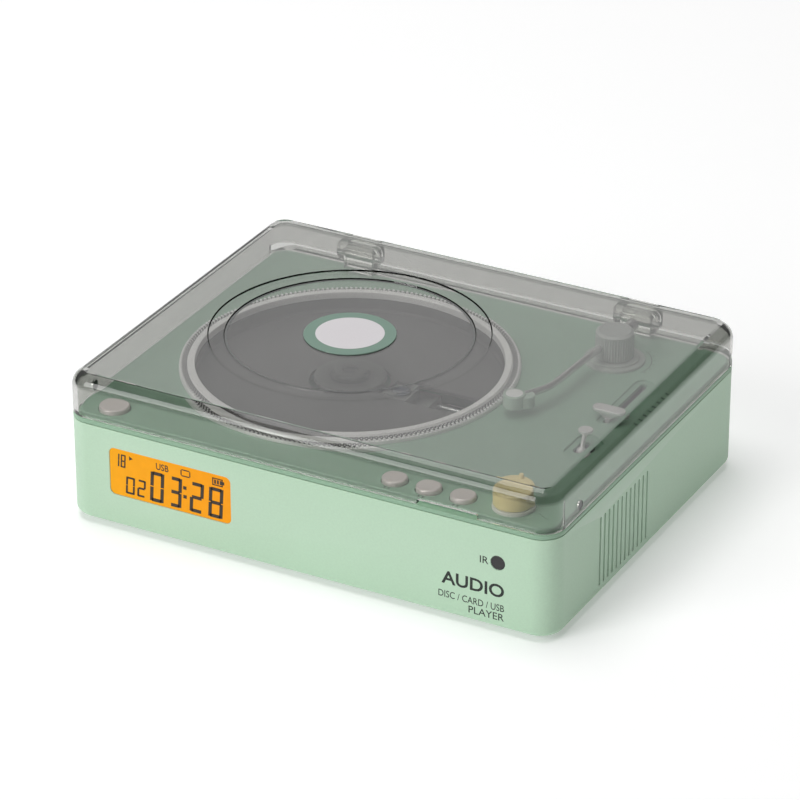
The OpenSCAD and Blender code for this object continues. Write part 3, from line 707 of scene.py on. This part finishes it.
def brushed_group():
    """Fine circular or straight scratches in metal, as a tone, a roughness and a height."""
    group, given, out = skin_group("brushed_skin", Colour="Color", Roughness="Float", Stretch="Vector")
    where = group.nodes.new("ShaderNodeTexCoord").outputs["Object"]
    stretched = group.nodes.new("ShaderNodeVectorMath")
    stretched.operation = "MULTIPLY"
    group.links.new(where, stretched.inputs[0])
    group.links.new(given["Stretch"], stretched.inputs[1])
    lines = noise(group, 1, 4, stretched.outputs[0])
    smear = noise(group, 60, 2, where)
    group.links.new(scaled(group, given["Colour"], ranged(group, lines, 0.88, 1.1)), out["Colour"])
    group.links.new(times(group, given["Roughness"], ranged(group, smear, 0.8, 1.3)), out["Roughness"])
    group.links.new(lines, out["Height"])
    return group


brushed_skin = brushed_group()


def brushed(name, colour, rough=0.3, stretch=(800, 800, 6000), metal=1.0, bump=0.08):
    """Metal or metallic paint with the brushed_skin group's fine lines."""
    return skinned(name, brushed_skin, bump, 0.03, metal, 0.0, Colour=(*colour, 1),
                   Roughness=rough, Stretch=stretch)


RING_METAL = brushed("ring_metal", (0.93, 0.92, 0.93), rough=0.32, metal=0.25)
BEAD_METAL = brushed("bead_metal", (0.95, 0.94, 0.95), rough=0.3, metal=0.3)
BAND_GREY = brushed("band_grey", (0.035, 0.034, 0.036), rough=0.5, metal=0.0)
R_IN, R_OUT = 63.5 * MM, ring_high.x - axis[0]
top = ring_high.z
ring = turned_ring("strobe_band", axis,
                   [(R_IN, deck_z)]
                   + profile(R_IN, top, (0, -0.4), (0.15, -0.12), (0.45, 0), (2.5, 0), (2.8, -0.1),
                             (3, -0.45), (3.3, -0.9))
                   + profile(R_OUT, top, (-0.7, -1.2), (-0.15, -1.5), (0, -1.9))
                   + [(R_OUT, deck_z)], 192)
soften(ring, 0.08 * MM, 2)
place(ring, "chassis", RING_METAL, "ring_metal", ["strobe_ring"])
edit(ring)
pick_faces(ring, lambda c, n: n.z > 0.9 and (c.xy - Vector(axis)).length > R_IN + 3.2 * MM)
ring.data.materials.append(BAND_GREY)
ring.active_material_index = 1
bpy.ops.object.material_slot_assign()
leave()


def dot_row(name, count, radius, z, size, squash, shift=0.0):
    """A row of small domes: one is modelled, then spun round the axis as separate copies."""
    obj = ball(name, (axis[0] + radius * math.cos(shift), axis[1] + radius * math.sin(shift), z), size)
    edit(obj)
    bpy.ops.mesh.select_all(action="SELECT")
    bpy.ops.transform.resize(value=(1, 1, squash), center_override=(0, 0, z))
    bpy.ops.mesh.spin(steps=count - 1, dupli=True, angle=math.tau * (count - 1) / count,
                      center=(axis[0], axis[1], z), axis=(0, 0, 1))
    bpy.ops.mesh.select_all(action="SELECT")
    bpy.ops.mesh.normals_make_consistent(inside=False)
    leave()
    return obj


rows = [dot_row("beads", 216, R_OUT - 0.85 * MM, top - 1.18 * MM, 0.64 * MM, 0.9)]
for k, radius in enumerate((R_IN + 3.75 * MM, R_IN + 4.45 * MM, R_IN + 5.15 * MM)):
    rows.append(dot_row("dots", 216, radius, top - 1.02 * MM - k * 0.04 * MM, 0.33 * MM, 0.8,
                        (k % 2) * math.pi / 216))
beads = join(rows, "strobe_beads")
bpy.ops.object.shade_smooth()
place(beads, "chassis", BEAD_METAL, "ring_metal")

# ---------------------------------------------------------------- buttons
# Power at the left and three transport buttons at the right are low round caps in warm grey
# metallic plastic, held by a flange under the deck.
BUTTON = brushed("button_metal", (0.77, 0.71, 0.70), rough=0.34, metal=0.35, stretch=(2500, 2500, 2500))
for node, body in zip(BUTTONS, ("power", "back", "play", "forward")):
    low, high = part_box(node)
    r = (high.x - low.x) / 2 - FLANGE
    z = high.z
    cap = turned(node.replace("_button", "_cap"), middle(node),
                 [(1.5 * MM, low.z), (1.5 * MM, rim_z - 1.4 * MM)]
                 + profile(r + FLANGE, rim_z, (0, -1.4), (0, -0.15))
                 + [(r, rim_z - 0.15 * MM)]
                 + profile(r, z, (0, -0.75), (-0.12, -0.4), (-0.4, -0.1), (-0.75, 0), (-1.1, -0.02))
                 + [(r * 0.5, z - 0.14 * MM), (r * 0.1, z - 0.18 * MM)], 72)
    smooth()
    place(cap, body, BUTTON, "button_metal", [node])

# ---------------------------------------------------------------- volume knob
# The knob is a cream cap with a small round pointer near its rim. It turns on a steel shaft over a
# pale collar that is fixed to the deck.
CREAM = moulded("knob_cream", (0.92, 0.78, 0.38), rough=0.38, grain=1500, bump=0.2, wear=0.15)
low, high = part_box("volume_knob")
knob_at = middle("volume_knob")
r = (high.x - low.x) / 2
crown = high.z - 1.8 * MM
knob = turned("knob_cap", knob_at,
              profile(r, low.z, (-0.5, 0), (-0.15, 0), (0, 0.2))
              + profile(r, crown, (0, -0.75), (-0.12, -0.35), (-0.35, -0.1), (-0.7, 0), (-1.4, 0),
                        (-1.7, -0.12))
              + [(r * 0.1, crown - 0.12 * MM)], 96)
nub = turned("knob_nub", (knob_at[0], knob_at[1] + r - 1.9 * MM),
             [(1 * MM, crown - 0.5 * MM)]
             + profile(0, high.z, (1, -0.45), (0.85, -0.12), (0.5, 0)), 32)
knob = join([knob, nub], "knob_cap")
smooth()
place(knob, "knob", CREAM, "knob_cream", ["volume_knob"])
COLLAR = moulded("collar_grey", (0.72, 0.73, 0.66), rough=0.35, grain=1500, bump=0.15)
low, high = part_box("knob_collar")
r = (high.x - low.x) / 2
collar = turned_ring("collar", knob_at,
                     [(4.7 * MM, low.z), (4.7 * MM, high.z)]
                     + profile(r, high.z, (-0.7, 0), (-0.2, -0.25), (0, -0.7))
                     + [(r, low.z)], 96)
smooth()
place(collar, "chassis", COLLAR, "collar_grey", ["knob_collar"])

# ---------------------------------------------------------------- fader and toggle
# The fader's silver cap slides in a slot on the right of the deck, and a small round-headed lever
# tilts in an oval recess in front of it.
ARM_METAL = brushed("arm_metal", (0.74, 0.73, 0.73), rough=0.22, metal=0.85, stretch=(3000, 3000, 3000))
CAP_METAL = brushed("cap_metal", (0.78, 0.765, 0.77), rough=0.42, stretch=(40, 1800, 40),
                    metal=0.55, bump=0.03)
low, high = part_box("fader_cap")
x, y = middle("fader_cap")
cap_z = high.z - 1.5 * MM
plate_top = plan_slab("fader_top", low, high, 0, cap_z, high.z, (high.y - low.y) / 2 - 1e-5, 12)
soften(plate_top, 0.35 * MM, 3)
stem = slab("fader_stem", (x - 5 * MM, y - 2 * MM, deck_z + 0.2 * MM),
            (x + 5 * MM, y + 2 * MM, cap_z + 0.2 * MM), 1.2 * MM)
for vertex in stem.data.vertices:
    if vertex.co.z < cap_z:
        vertex.co.x = x + (vertex.co.x - x) * 0.42
        vertex.co.y = y + (vertex.co.y - y) * 0.6
soften(stem, 0.2 * MM)
blade = slab("fader_blade", (x - 1 * MM, y - 1.9 * MM, low.z),
             (x + 1 * MM, y + 1.9 * MM, deck_z + 0.4 * MM), 0.4 * MM)
soften(blade, 0.1 * MM)
place(join([plate_top, stem, blade], "fader_handle"), "fader", CAP_METAL, "button_metal", ["fader_cap"])

low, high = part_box("toggle_lever")
tx, ty = toggle_middle
PIVOT = 46.6 * MM
LEVER_LEAN = math.radians(26)
lever = turned("lever_stem", (0, 0), [(0.95 * MM, 1 * MM), (1.0 * MM, 6 * MM), (1.2 * MM, 8.3 * MM)], 48)
lever.rotation_euler = (-LEVER_LEAN, 0, 0)
lever.location = (tx, ty, PIVOT)
settle(lever)
cap_foot = PIVOT + 7.3 * MM
button = turned("lever_cap", (tx, ty + math.sin(LEVER_LEAN) * 8.6 * MM),
                profile(0, cap_foot, (1.3, -0.3), (2.7, 0), (3, 0.25), (3, 0.95), (2.75, 1.2),
                        (2.3, 1.25), (1, 1.15)), 48)
lever = join([lever, button], "toggle_stick")
lever = join([lever, ball("lever_ball", (tx, ty, PIVOT), 2.2 * MM, 32)], "toggle_stick")
smooth()
place(lever, "toggle", CAP_METAL, "button_metal", ["toggle_lever"])

# ---------------------------------------------------------------- tonearm
# The small tonearm is only for show: a ribbed post on a two-step flange, a bent silver tube, a
# round head and a ringed weight behind. It swings and touches nothing.
POST_GREY = moulded("post_grey", (0.40, 0.42, 0.41), rough=0.4, grain=1300, bump=0.2, wear=0.3)
FLANGE_GREY = moulded("flange_grey", (0.40, 0.44, 0.41), rough=0.42, grain=1300, bump=0.2, wear=0.2)
low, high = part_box("arm_flange")
post_at = middle("arm_flange")
r = (high.x - low.x) / 2
flange = turned_ring("arm_base", post_at,
                     [(3.1 * MM, low.z), (3.1 * MM, high.z)]
                     + profile(r, high.z, (-2.6, 0), (-2.3, -0.2), (-2.2, -0.7), (-0.5, -0.8),
                               (-0.1, -1), (0, -1.3))
                     + [(r, low.z)], 96)
smooth()
place(flange, "chassis", FLANGE_GREY, "post_grey", ["arm_flange"])
low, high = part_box("arm_post")
r = (high.x - low.x) / 2
RIBS = 44
ribbed = turned("arm_ribs", post_at, [(r, deck_z + 2.4 * MM), (r, high.z - 1.6 * MM)], RIBS * 4)
for vertex in ribbed.data.vertices:
    spoke = vertex.co.xy - Vector(post_at)
    step = round(math.atan2(spoke.y, spoke.x) / math.tau * RIBS * 4) % 4
    if step in (2, 3):
        spoke *= 0.955
        vertex.co.x, vertex.co.y = post_at[0] + spoke.x, post_at[1] + spoke.y
crown = turned("arm_crown", post_at,
               [(r * 0.95, high.z - 1.7 * MM)]
               + profile(r * 0.985, high.z, (0, -1.55), (0, -0.9))
               + profile(r, high.z, (-1.0, -0.1), (-1.2, 0), (-1.9, 0), (-2.1, -0.15))
               + [(1 * MM, high.z - 0.15 * MM)], 96)
shaft = turned("arm_shaft", post_at, [(3 * MM, low.z), (3 * MM, deck_z + 2.5 * MM)], 48)
post = join([ribbed, crown, shaft], "arm_pillar")
smooth(24)
place(post, "tonearm", POST_GREY, "post_grey", ["arm_post"])


def rounded_path(name, points, z, radius):
    """A tube of one radius along straight runs whose corners are cut to smooth bends."""
    for _ in range(4):
        bent = [points[0]]
        for (ax, ay), (bx, by) in zip(points, points[1:]):
            bent += [(ax * 0.75 + bx * 0.25, ay * 0.75 + by * 0.25),
                     (ax * 0.25 + bx * 0.75, ay * 0.25 + by * 0.75)]
        points = bent + [points[-1]]
    line = bpy.data.curves.new(name, "CURVE")
    line.dimensions = "3D"
    line.bevel_depth = radius
    line.bevel_resolution = 8
    line.use_fill_caps = True
    spline = line.splines.new("POLY")
    spline.points.add(len(points) - 1)
    for point, (px, py) in zip(spline.points, points):
        point.co = (px * MM, py * MM, z, 1)
    obj = bpy.data.objects.new(name, line)
    bpy.context.scene.collection.objects.link(obj)
    only(obj)
    bpy.ops.object.convert(target="MESH")
    smooth(40)
    return bpy.context.object


arm_low, arm_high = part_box("arm_tube")
ARM_Z = (arm_low.z + arm_high.z) / 2
tube = rounded_path("arm_pipe", [(64.3, 50.5), (63.2, 42), (61.6, 14), (60.8, 7.5), (57.6, 1),
                                 (53.2, -5.2)],
                    ARM_Z, 1.45 * MM)
place(tube, "tonearm", ARM_METAL, "arm_metal", ["arm_tube"])
HEAD_MINT = moulded("head_mint", (0.40, 0.52, 0.44), rough=0.35, grain=1300, bump=0.15)
low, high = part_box("arm_headshell")
head_at = (low.x + 4.6 * MM, low.y + 4.6 * MM)
head = turned("arm_head", head_at,
              profile(0, low.z, (4.3, 0), (4.6, 0.3))
              + profile(0, high.z, (4.6, -0.6), (4.4, -0.2), (4, 0), (3.7, 0), (3.5, -0.15),
                        (0.6, -0.15)), 72)
smooth()
place(head, "tonearm", HEAD_MINT, "post_grey", ["arm_headshell"])
lift_at = (head_at[0] + 4 * MM, head_at[1] + 2.6 * MM)
lift = turned("arm_lift", lift_at,
              profile(0, low.z, (3.4, 0.1), (3.6, 0.3), (3.6, 4.6), (3.3, 5.0), (0.6, 5.0)), 60)
smooth()
place(lift, "tonearm", HEAD_MINT, "post_grey")
disc_top = turned("arm_head_disc", head_at,
                  profile(0, high.z, (3.45, -0.3), (3.45, -0.02), (3.2, 0.05), (0.5, 0.05)), 60)
smooth()
place(disc_top, "tonearm", BEAD_METAL, "arm_metal")
low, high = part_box("arm_counterweight")
weight_at = ((low.x + high.x) / 2, ARM_Z)
weights = [rod("weight_rod", "Y", weight_at, 1.6 * MM, low.y, high.y, 32)]
for i in range(4):
    start = post_at[1] + (11 + 2.4 * i) * MM
    weights.append(rod("weight_ring", "Y", weight_at, 2.6 * MM, start, start + 1.8 * MM, 40))
weight = join(weights, "arm_weight")
soften(weight, 0.3 * MM)
place(weight, "tonearm", ARM_METAL, "arm_metal", ["arm_counterweight"])

# ---------------------------------------------------------------- marks on the deck
# Small dark printed marks: a scale arc behind the tonearm, eight dashes beside the fader, and a
# simple sign in front of each button. They lie flush in the deck's paint.
MARK_INK = moulded("mark_ink", (0.02, 0.05, 0.035), rough=0.5, grain=2600, bump=0.05, wear=0.0)
SKIN = 0.04 * MM


def mark(x0, y0, x1, y1):
    return block("mark", (x0 * MM, y0 * MM, deck_z - SKIN), (x1 * MM, y1 * MM, deck_z + SKIN / 2))


marks = []
for i in range(8):
    y = 9.8 + i * 4.23
    marks.append(mark(96.2, y - 0.4, 98.2, y + 0.4))
for cx in (35.6, 50.6, 65.6):
    for k in (-1, 1):
        marks.append(mark(cx + k * 0.9 - 0.35, -82.6, cx + k * 0.9 + 0.35, -81.4))
marks.append(mark(-92.8, -83.1, -91.8, -82.9))
for k in range(3):
    marks.append(mark(96.5 + k * 1.9, -73.2 - k * 1.1, 97.6 + k * 1.9, -72.8 - k * 1.1))
arc = turned_ring("scale_arc", post_at,
                  [(15.3 * MM, deck_z - SKIN)]
                  + profile(0, deck_z + SKIN / 2, (15.3, 0), (15.6, 0))
                  + [(15.6 * MM, deck_z - SKIN)], 144)
edit(arc)
pick_faces(arc, lambda c, n: not (-20 < math.degrees(math.atan2(c.y - post_at[1],
                                                                c.x - post_at[0])) < 58))
bpy.ops.mesh.delete(type="FACE")
bpy.ops.mesh.select_all(action="SELECT")
bpy.ops.mesh.fill_holes(sides=4)
bpy.ops.mesh.select_all(action="SELECT")
bpy.ops.mesh.normals_make_consistent(inside=False)
leave()
marks.append(arc)
for i in range(6):
    turn = math.radians(-16 + i * 14)
    reach = 16.6 * MM
    x, y = post_at[0] + reach * math.cos(turn), post_at[1] + reach * math.sin(turn)
    marks.append(mark(x / MM - 0.45, y / MM - 0.3, x / MM + 0.45, y / MM + 0.3))
place(join(marks, "deck_marks"), "chassis", MARK_INK, "ir_black")

# ---------------------------------------------------------------- lid
# The lid is one smoky clear moulding with upright skirts, a leaning shoulder and a flat top with a
# shallow round dish over the disc. It swings on two hinges at the back, and a low clear rail on
# the deck closes the gap under its cut-away rear edge.


def smoked_clear(name, tone, shadow):
    """Smoky acrylic: tinted glass that lets lamp light through, with faint scuffs in its gloss, and
    painted shade that darkens it on the leaning shoulder.
    """
    paint, tree, shader = new_paint(name)
    where = tree.nodes.new("ShaderNodeTexCoord").outputs["Object"]
    tree.links.new(ranged(tree, noise(tree, 420, 5, where), 0.0, 0.05), shader.inputs["Roughness"])
    tint = tree.nodes.new("ShaderNodeMix")
    tint.data_type = "RGBA"
    tint.inputs["A"].default_value = (tone, tone, tone * 0.967, 1)
    tint.inputs["B"].default_value = (tone * 1.04, tone * 1.037, tone * 1.005, 1)
    tree.links.new(noise(tree, 14, 2, where), tint.inputs["Factor"])
    # Painted shade: the height ramp below keeps the colour full on the skirts and halves it on the
    # leaning shoulder, for the dark that the sloped shoulder shows. It also keeps the top a little
    # darker than the skirts.
    axes = tree.nodes.new("ShaderNodeSeparateXYZ")
    tree.links.new(where, axes.inputs[0])
    level = ranged(tree, axes.outputs["Z"], start=58 * MM, end=66 * MM)
    depth = tree.nodes.new("ShaderNodeValToRGB")
    depth.color_ramp.elements[0].position = 0.25
    depth.color_ramp.elements[0].color = (1, 1, 1, 1)
    depth.color_ramp.elements[1].position = 0.74
    depth.color_ramp.elements[1].color = (0.80, 0.80, 0.80, 1)
    for position, shade in ((0.36, 0.56), (0.68, 0.56)):
        stop = depth.color_ramp.elements.new(position)
        stop.color = (shade, shade * 1.04, shade, 1)
    tree.links.new(level, depth.inputs["Fac"])
    body = tree.nodes.new("ShaderNodeMix")
    body.data_type = "RGBA"
    body.blend_type = "MULTIPLY"
    body.inputs["Factor"].default_value = 1.0
    tree.links.new(tint.outputs["Result"], body.inputs["A"])
    tree.links.new(depth.outputs["Color"], body.inputs["B"])
    tree.links.new(body.outputs["Result"], shader.inputs["Base Color"])
    shader.inputs["Transmission Weight"].default_value = 1.0
    shader.inputs["IOR"].default_value = 1.46
    clear = tree.nodes.new("ShaderNodeBsdfTransparent")
    clear.inputs["Color"].default_value = (shadow, shadow, shadow * 0.985, 1)
    path = tree.nodes.new("ShaderNodeLightPath")
    mix = tree.nodes.new("ShaderNodeMixShader")
    tree.links.new(path.outputs["Is Shadow Ray"], mix.inputs["Fac"])
    tree.links.new(shader.outputs["BSDF"], mix.inputs[1])
    tree.links.new(clear.outputs["BSDF"], mix.inputs[2])
    tree.links.new(mix.outputs["Shader"], tree.nodes["Material Output"].inputs["Surface"])
    return paint


SMOKE = smoked_clear("smoke_clear", 0.595, 0.74)
CLEAR = smoked_clear("clear_acrylic", 0.90, 0.9)
lid_low, lid_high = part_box("lid_cover")
SKIRT_Z = 60 * MM
LID_WALL = 2 * MM


def lid_form(name, inset, z0, top_z):
    """The lid's outline, with the shoulder raised from its top face by insets."""
    form = plan_slab(name, lid_low, lid_high, inset, z0, SKIRT_Z - inset * 0.4, CORNER - inset, 14)
    edit(form)
    pick_faces(form, lambda c, n: n.z > 0.9)
    rise = top_z - SKIRT_Z + inset * 0.4
    for inward, upward in ((0.45, 1.9), (1.05, 1.7), (1.35, 1.15), (1.75, 1.25)):
        bpy.ops.mesh.inset(thickness=inward * MM, depth=0, use_even_offset=True)
        bpy.ops.transform.translate(value=(0, 0, upward / 6.0 * rise))
    leave()
    return form


lid = lid_form("lid_shell", 0, lid_low.z, lid_high.z)
inner = lid_form("lid_hollow", LID_WALL, lid_low.z - 0.01, lid_high.z - LID_WALL)
cut(lid, [inner])
DISH, DISH_IN = 58.2 * MM, 51.6 * MM
FLOOR_Z = lid_high.z - 1.2 * MM
dish = turned("dish", axis,
              profile(DISH_IN, FLOOR_Z, (-0.35, 0), (0, 0.5))
              + profile(DISH, lid_high.z, (-0.45, -0.55), (0, 0))
              + [(DISH, lid_high.z + 0.01)], 192)
notch = slab("notch", (50.6 * MM, lid_low.y - 0.01, lid_low.z - 0.01),
             (76.9 * MM, lid_low.y + 5 * MM, lid_low.z + 1.9 * MM), 0.6 * MM, axis=1, steps=4)
REAR_Z, REAR_Y = 52.5 * MM, 78 * MM
rear = block("rear_cut", (-0.2, REAR_Y, lid_low.z - 0.01), (0.2, 0.2, REAR_Z))
cut(lid, [dish])
cut(lid, [notch, rear])
pins_low, pins_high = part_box("hinge_pins")
HINGE_Z = (pins_low.z + pins_high.z) / 2
HINGE_Y = (pins_low.y + pins_high.y) / 2
HINGE_X = 65.5 * MM
gaps = [slab("hinge_gap", (side * HINGE_X - 7.4 * MM, HINGE_Y - 1 * MM, lid_low.z),
             (side * HINGE_X + 7.4 * MM, 0.1, HINGE_Z + 3.4 * MM), 1.2 * MM, axis=1,
             steps=5) for side in (-1, 1)]
cut(lid, gaps)
bumper_low, bumper_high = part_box("lid_bumpers")
bumper_at = ((bumper_low.y + bumper_high.y) / 2, (bumper_low.z + bumper_high.z) / 2)
cut(lid, [rod("cut_bumper", "X", bumper_at, 2.02 * MM, edge - 4 * MM, edge + 4 * MM)
          for edge in (-lid_high.x, lid_high.x)])
soften(lid, 0.35 * MM, 3, 50, 28)
place(lid, "lid", SMOKE, "smoke_clear", ["lid_cover"])
# Painted shade: a thin black ring at the foot of the dish stands for the dark line that the dish's inner
# edge shows through the clear acrylic; the moulding has no such part.
dish_shade_line = turned_ring("dish_shade_line", axis,
                        profile(DISH_IN, FLOOR_Z, (-1.25, -0.1), (-1.25, 0.05), (-0.4, 0.05),
                                (-0.4, -0.1)), 192)
place(dish_shade_line, "lid", IR_BLACK, "ir_black")

RAIL_TOP, SWEEP = REAR_Z - 0.5 * MM, 7.2 * MM
rail = plan_slab("rear_rail", lid_low, lid_high, 0, rim_z, RAIL_TOP, CORNER, 14)
cut(rail, [plan_slab("rail_hollow", lid_low, lid_high, LID_WALL, 0, 0.1, CORNER - LID_WALL, 14)])
cut(rail, [block("rail_front", (-0.2, -0.2, 0.01), (0.2, REAR_Y + 0.3 * MM, 0.09))])
cut(rail, [rod("rail_sweep", "X", (HINGE_Y, HINGE_Z), SWEEP, -0.15, 0.15, 96)])
soften(rail, 0.2 * MM, 2, 50, 28)
place(rail, "chassis", SMOKE, "smoke_clear")

ears = []
for side in (-1, 1):
    cx = side * HINGE_X
    low_z = HINGE_Z - 3 * MM
    loop = slab("ear", (cx - 10.4 * MM, HINGE_Y - 2.5 * MM, low_z),
                (cx + 10.4 * MM, HINGE_Y + 2.4 * MM, SKIRT_Z + 2 * MM), 2.6 * MM, axis=1, steps=8)
    cut(loop, [slab("ear_gap", (cx - 7.45 * MM, HINGE_Y - 6 * MM, low_z - 0.01),
                    (cx + 7.45 * MM, HINGE_Y + 6 * MM, HINGE_Z + 3.45 * MM), 2 * MM, axis=1, steps=6)])
    round_edges(loop, 0.3 * MM, 3, 50)
    ears.append(loop)
ears = join(ears, "lid_ears")
even_out(ears)
place(ears, "lid", CLEAR, "smoke_clear", ["hinge_ears"])

# ---------------------------------------------------------------- badge
# A round label lies in the middle of the dish: a mint ring around a plain white disc.
BADGE_MINT = moulded("badge", (0.150, 0.26, 0.20), rough=0.35, grain=1500, bump=0.1)
BADGE_WHITE = moulded("badge_white", (0.70, 0.67, 0.69), rough=0.4, grain=1500, bump=0.08)
low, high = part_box("lid_badge")
r = (high.x - low.x) / 2
face_z = FLOOR_Z + 0.5 * MM
label = turned("label_ring", axis,
               profile(r, FLOOR_Z, (-0.1, 0), (0, 0.1))
               + profile(r, face_z, (0, -0.2), (-0.15, -0.04), (-0.35, 0))
               + [(1 * MM, face_z)], 128)
even_out(label)
place(label, "lid", BADGE_MINT, "badge", ["lid_badge"])
LABEL_WHITE = 14.2 * MM
label_disc = turned("label_disc", axis,
                    profile(LABEL_WHITE, face_z, (0, -0.1), (0, 0.05), (-0.1, 0.1))
                    + [(1 * MM, face_z + 0.1 * MM)], 128)
even_out(label_disc)
place(label_disc, "lid", BADGE_WHITE, "badge")

# ---------------------------------------------------------------- hinges
# Each hinge is a clear block on the deck around a steel barrel. The lid's clear ears turn on the
# ends of the pin.
STEEL = brushed("steel", (0.66, 0.67, 0.68), rough=0.25)
barrels = []
knuckles = []
for side in (-1, 1):
    cx = side * HINGE_X
    knuckle = slab("knuckle", (cx - 7 * MM, HINGE_Y - 2.5 * MM, deck_z),
                   (cx + 7 * MM, HINGE_Y + 2.5 * MM, HINGE_Z + 2.5 * MM), 0.3 * MM)
    edit(knuckle)
    pick_edges(knuckle, lambda a, b: min(a.z, b.z) > HINGE_Z + 2.49 * MM and abs(a.x - b.x) > 10 * MM)
    bpy.ops.mesh.bevel(offset=2.4 * MM, segments=8, affect="EDGES")
    leave()
    barrel = rod("barrel", "X", (HINGE_Y, HINGE_Z), 1.9 * MM, cx - 6.5 * MM, cx + 6.5 * MM)
    cut(knuckle, [rod("cut_barrel", "X", (HINGE_Y, HINGE_Z), 1.95 * MM, cx - 6.55 * MM, cx + 6.55 * MM)])
    soften(knuckle, 0.25 * MM)
    soften(barrel, 0.3 * MM)
    knuckles.append(knuckle)
    barrels.append(barrel)
place(join(knuckles, "knuckles"), "chassis", CLEAR, "smoke_clear", ["hinge_knuckles"])
place(join(barrels, "hinge_barrels"), "chassis", STEEL, "steel")

# ---------------------------------------------------------------- everything inside
# The boards, speakers, cells, sockets, motor and rods keep their shapes from the frame, and each
# gets the finish of what it is made of.
MAGNET = brushed("magnet", (0.30, 0.31, 0.32), rough=0.4)
BRASS = brushed("brass", (0.72, 0.52, 0.22), rough=0.3)


def board_paint():
    """Green solder mask with a faint grid of copper tracks showing through."""
    paint = moulded("pcb", (0.02, 0.16, 0.06), rough=0.3, grain=700, bump=0.1)
    tree = paint.node_tree
    tracks = tree.nodes.new("ShaderNodeTexBrick")
    tracks.inputs["Scale"].default_value = 160
    tracks.inputs["Mortar Size"].default_value = 0.03
    tracks.inputs["Color1"].default_value = (0.015, 0.13, 0.05, 1)
    tracks.inputs["Color2"].default_value = (0.02, 0.17, 0.07, 1)
    tracks.inputs["Mortar"].default_value = (0.05, 0.26, 0.10, 1)
    where = tree.nodes.new("ShaderNodeTexCoord")
    tree.links.new(where.outputs["Object"], tracks.inputs["Vector"])
    tree.links.new(tracks.outputs["Color"], tree.nodes["Principled BSDF"].inputs["Base Color"])
    return paint


PCB = board_paint()
FRAME_GREY = moulded("frame_grey", (0.20, 0.21, 0.22), rough=0.5, grain=900, bump=0.3)
CHIP = moulded("chip_black", (0.035, 0.035, 0.038), rough=0.5, grain=1200, bump=0.2)
CONE = moulded("cone_black", (0.03, 0.03, 0.032), rough=0.8, grain=500, bump=0.7, depth=0.2)
MESH = moulded("mesh_black", (0.018, 0.045, 0.028), rough=0.8, grain=2500, bump=0.8)
WRAP = moulded("cell_wrap", (0.10, 0.22, 0.50), rough=0.3, grain=300, bump=0.1)
LENS = moulded("lens", (0.03, 0.04, 0.08), rough=0.05, grain=2000, bump=0.02, coat=0.8)
FINISHES = {
    "case_screws": STEEL, "cd_bay": CHARCOAL, "lcd_panel": PANE, "display_backlight": DIFFUSER,
    "display_board": PCB, "ir_receiver": IR_BLACK, "vent_screens": MESH,
    "speaker_frame_left": FRAME_GREY, "speaker_frame_right": FRAME_GREY, "speaker_cones": CONE,
    "speaker_magnets": MAGNET, "main_board": PCB, "battery_pack": WRAP, "usb_a_socket": STEEL,
    "usb_c_socket": STEEL, "card_socket": STEEL, "audio_jack": CHIP, "control_board": PCB,
    "button_switches": CHIP, "volume_encoder": FRAME_GREY, "encoder_shaft": STEEL,
    "fader_track": FRAME_GREY, "toggle_housing": FRAME_GREY, "arm_bearing": STEEL,
    "drive_chassis": STEEL, "drive_dampers": RUBBER, "spindle_motor": MAGNET, "hub_balls": STEEL,
    "guide_rods": STEEL, "sled_motor": MAGNET, "lead_screw": BRASS, "pickup_sled": CHIP,
    "objective_lens": LENS, "hinge_pins": STEEL, "lid_bumpers": IR_BLACK}
for node, paint in FINISHES.items():
    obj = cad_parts[node]
    for skin in obj.material_slots:
        skin.material = paint
    if not obj.material_slots:
        obj.data.materials.append(paint)
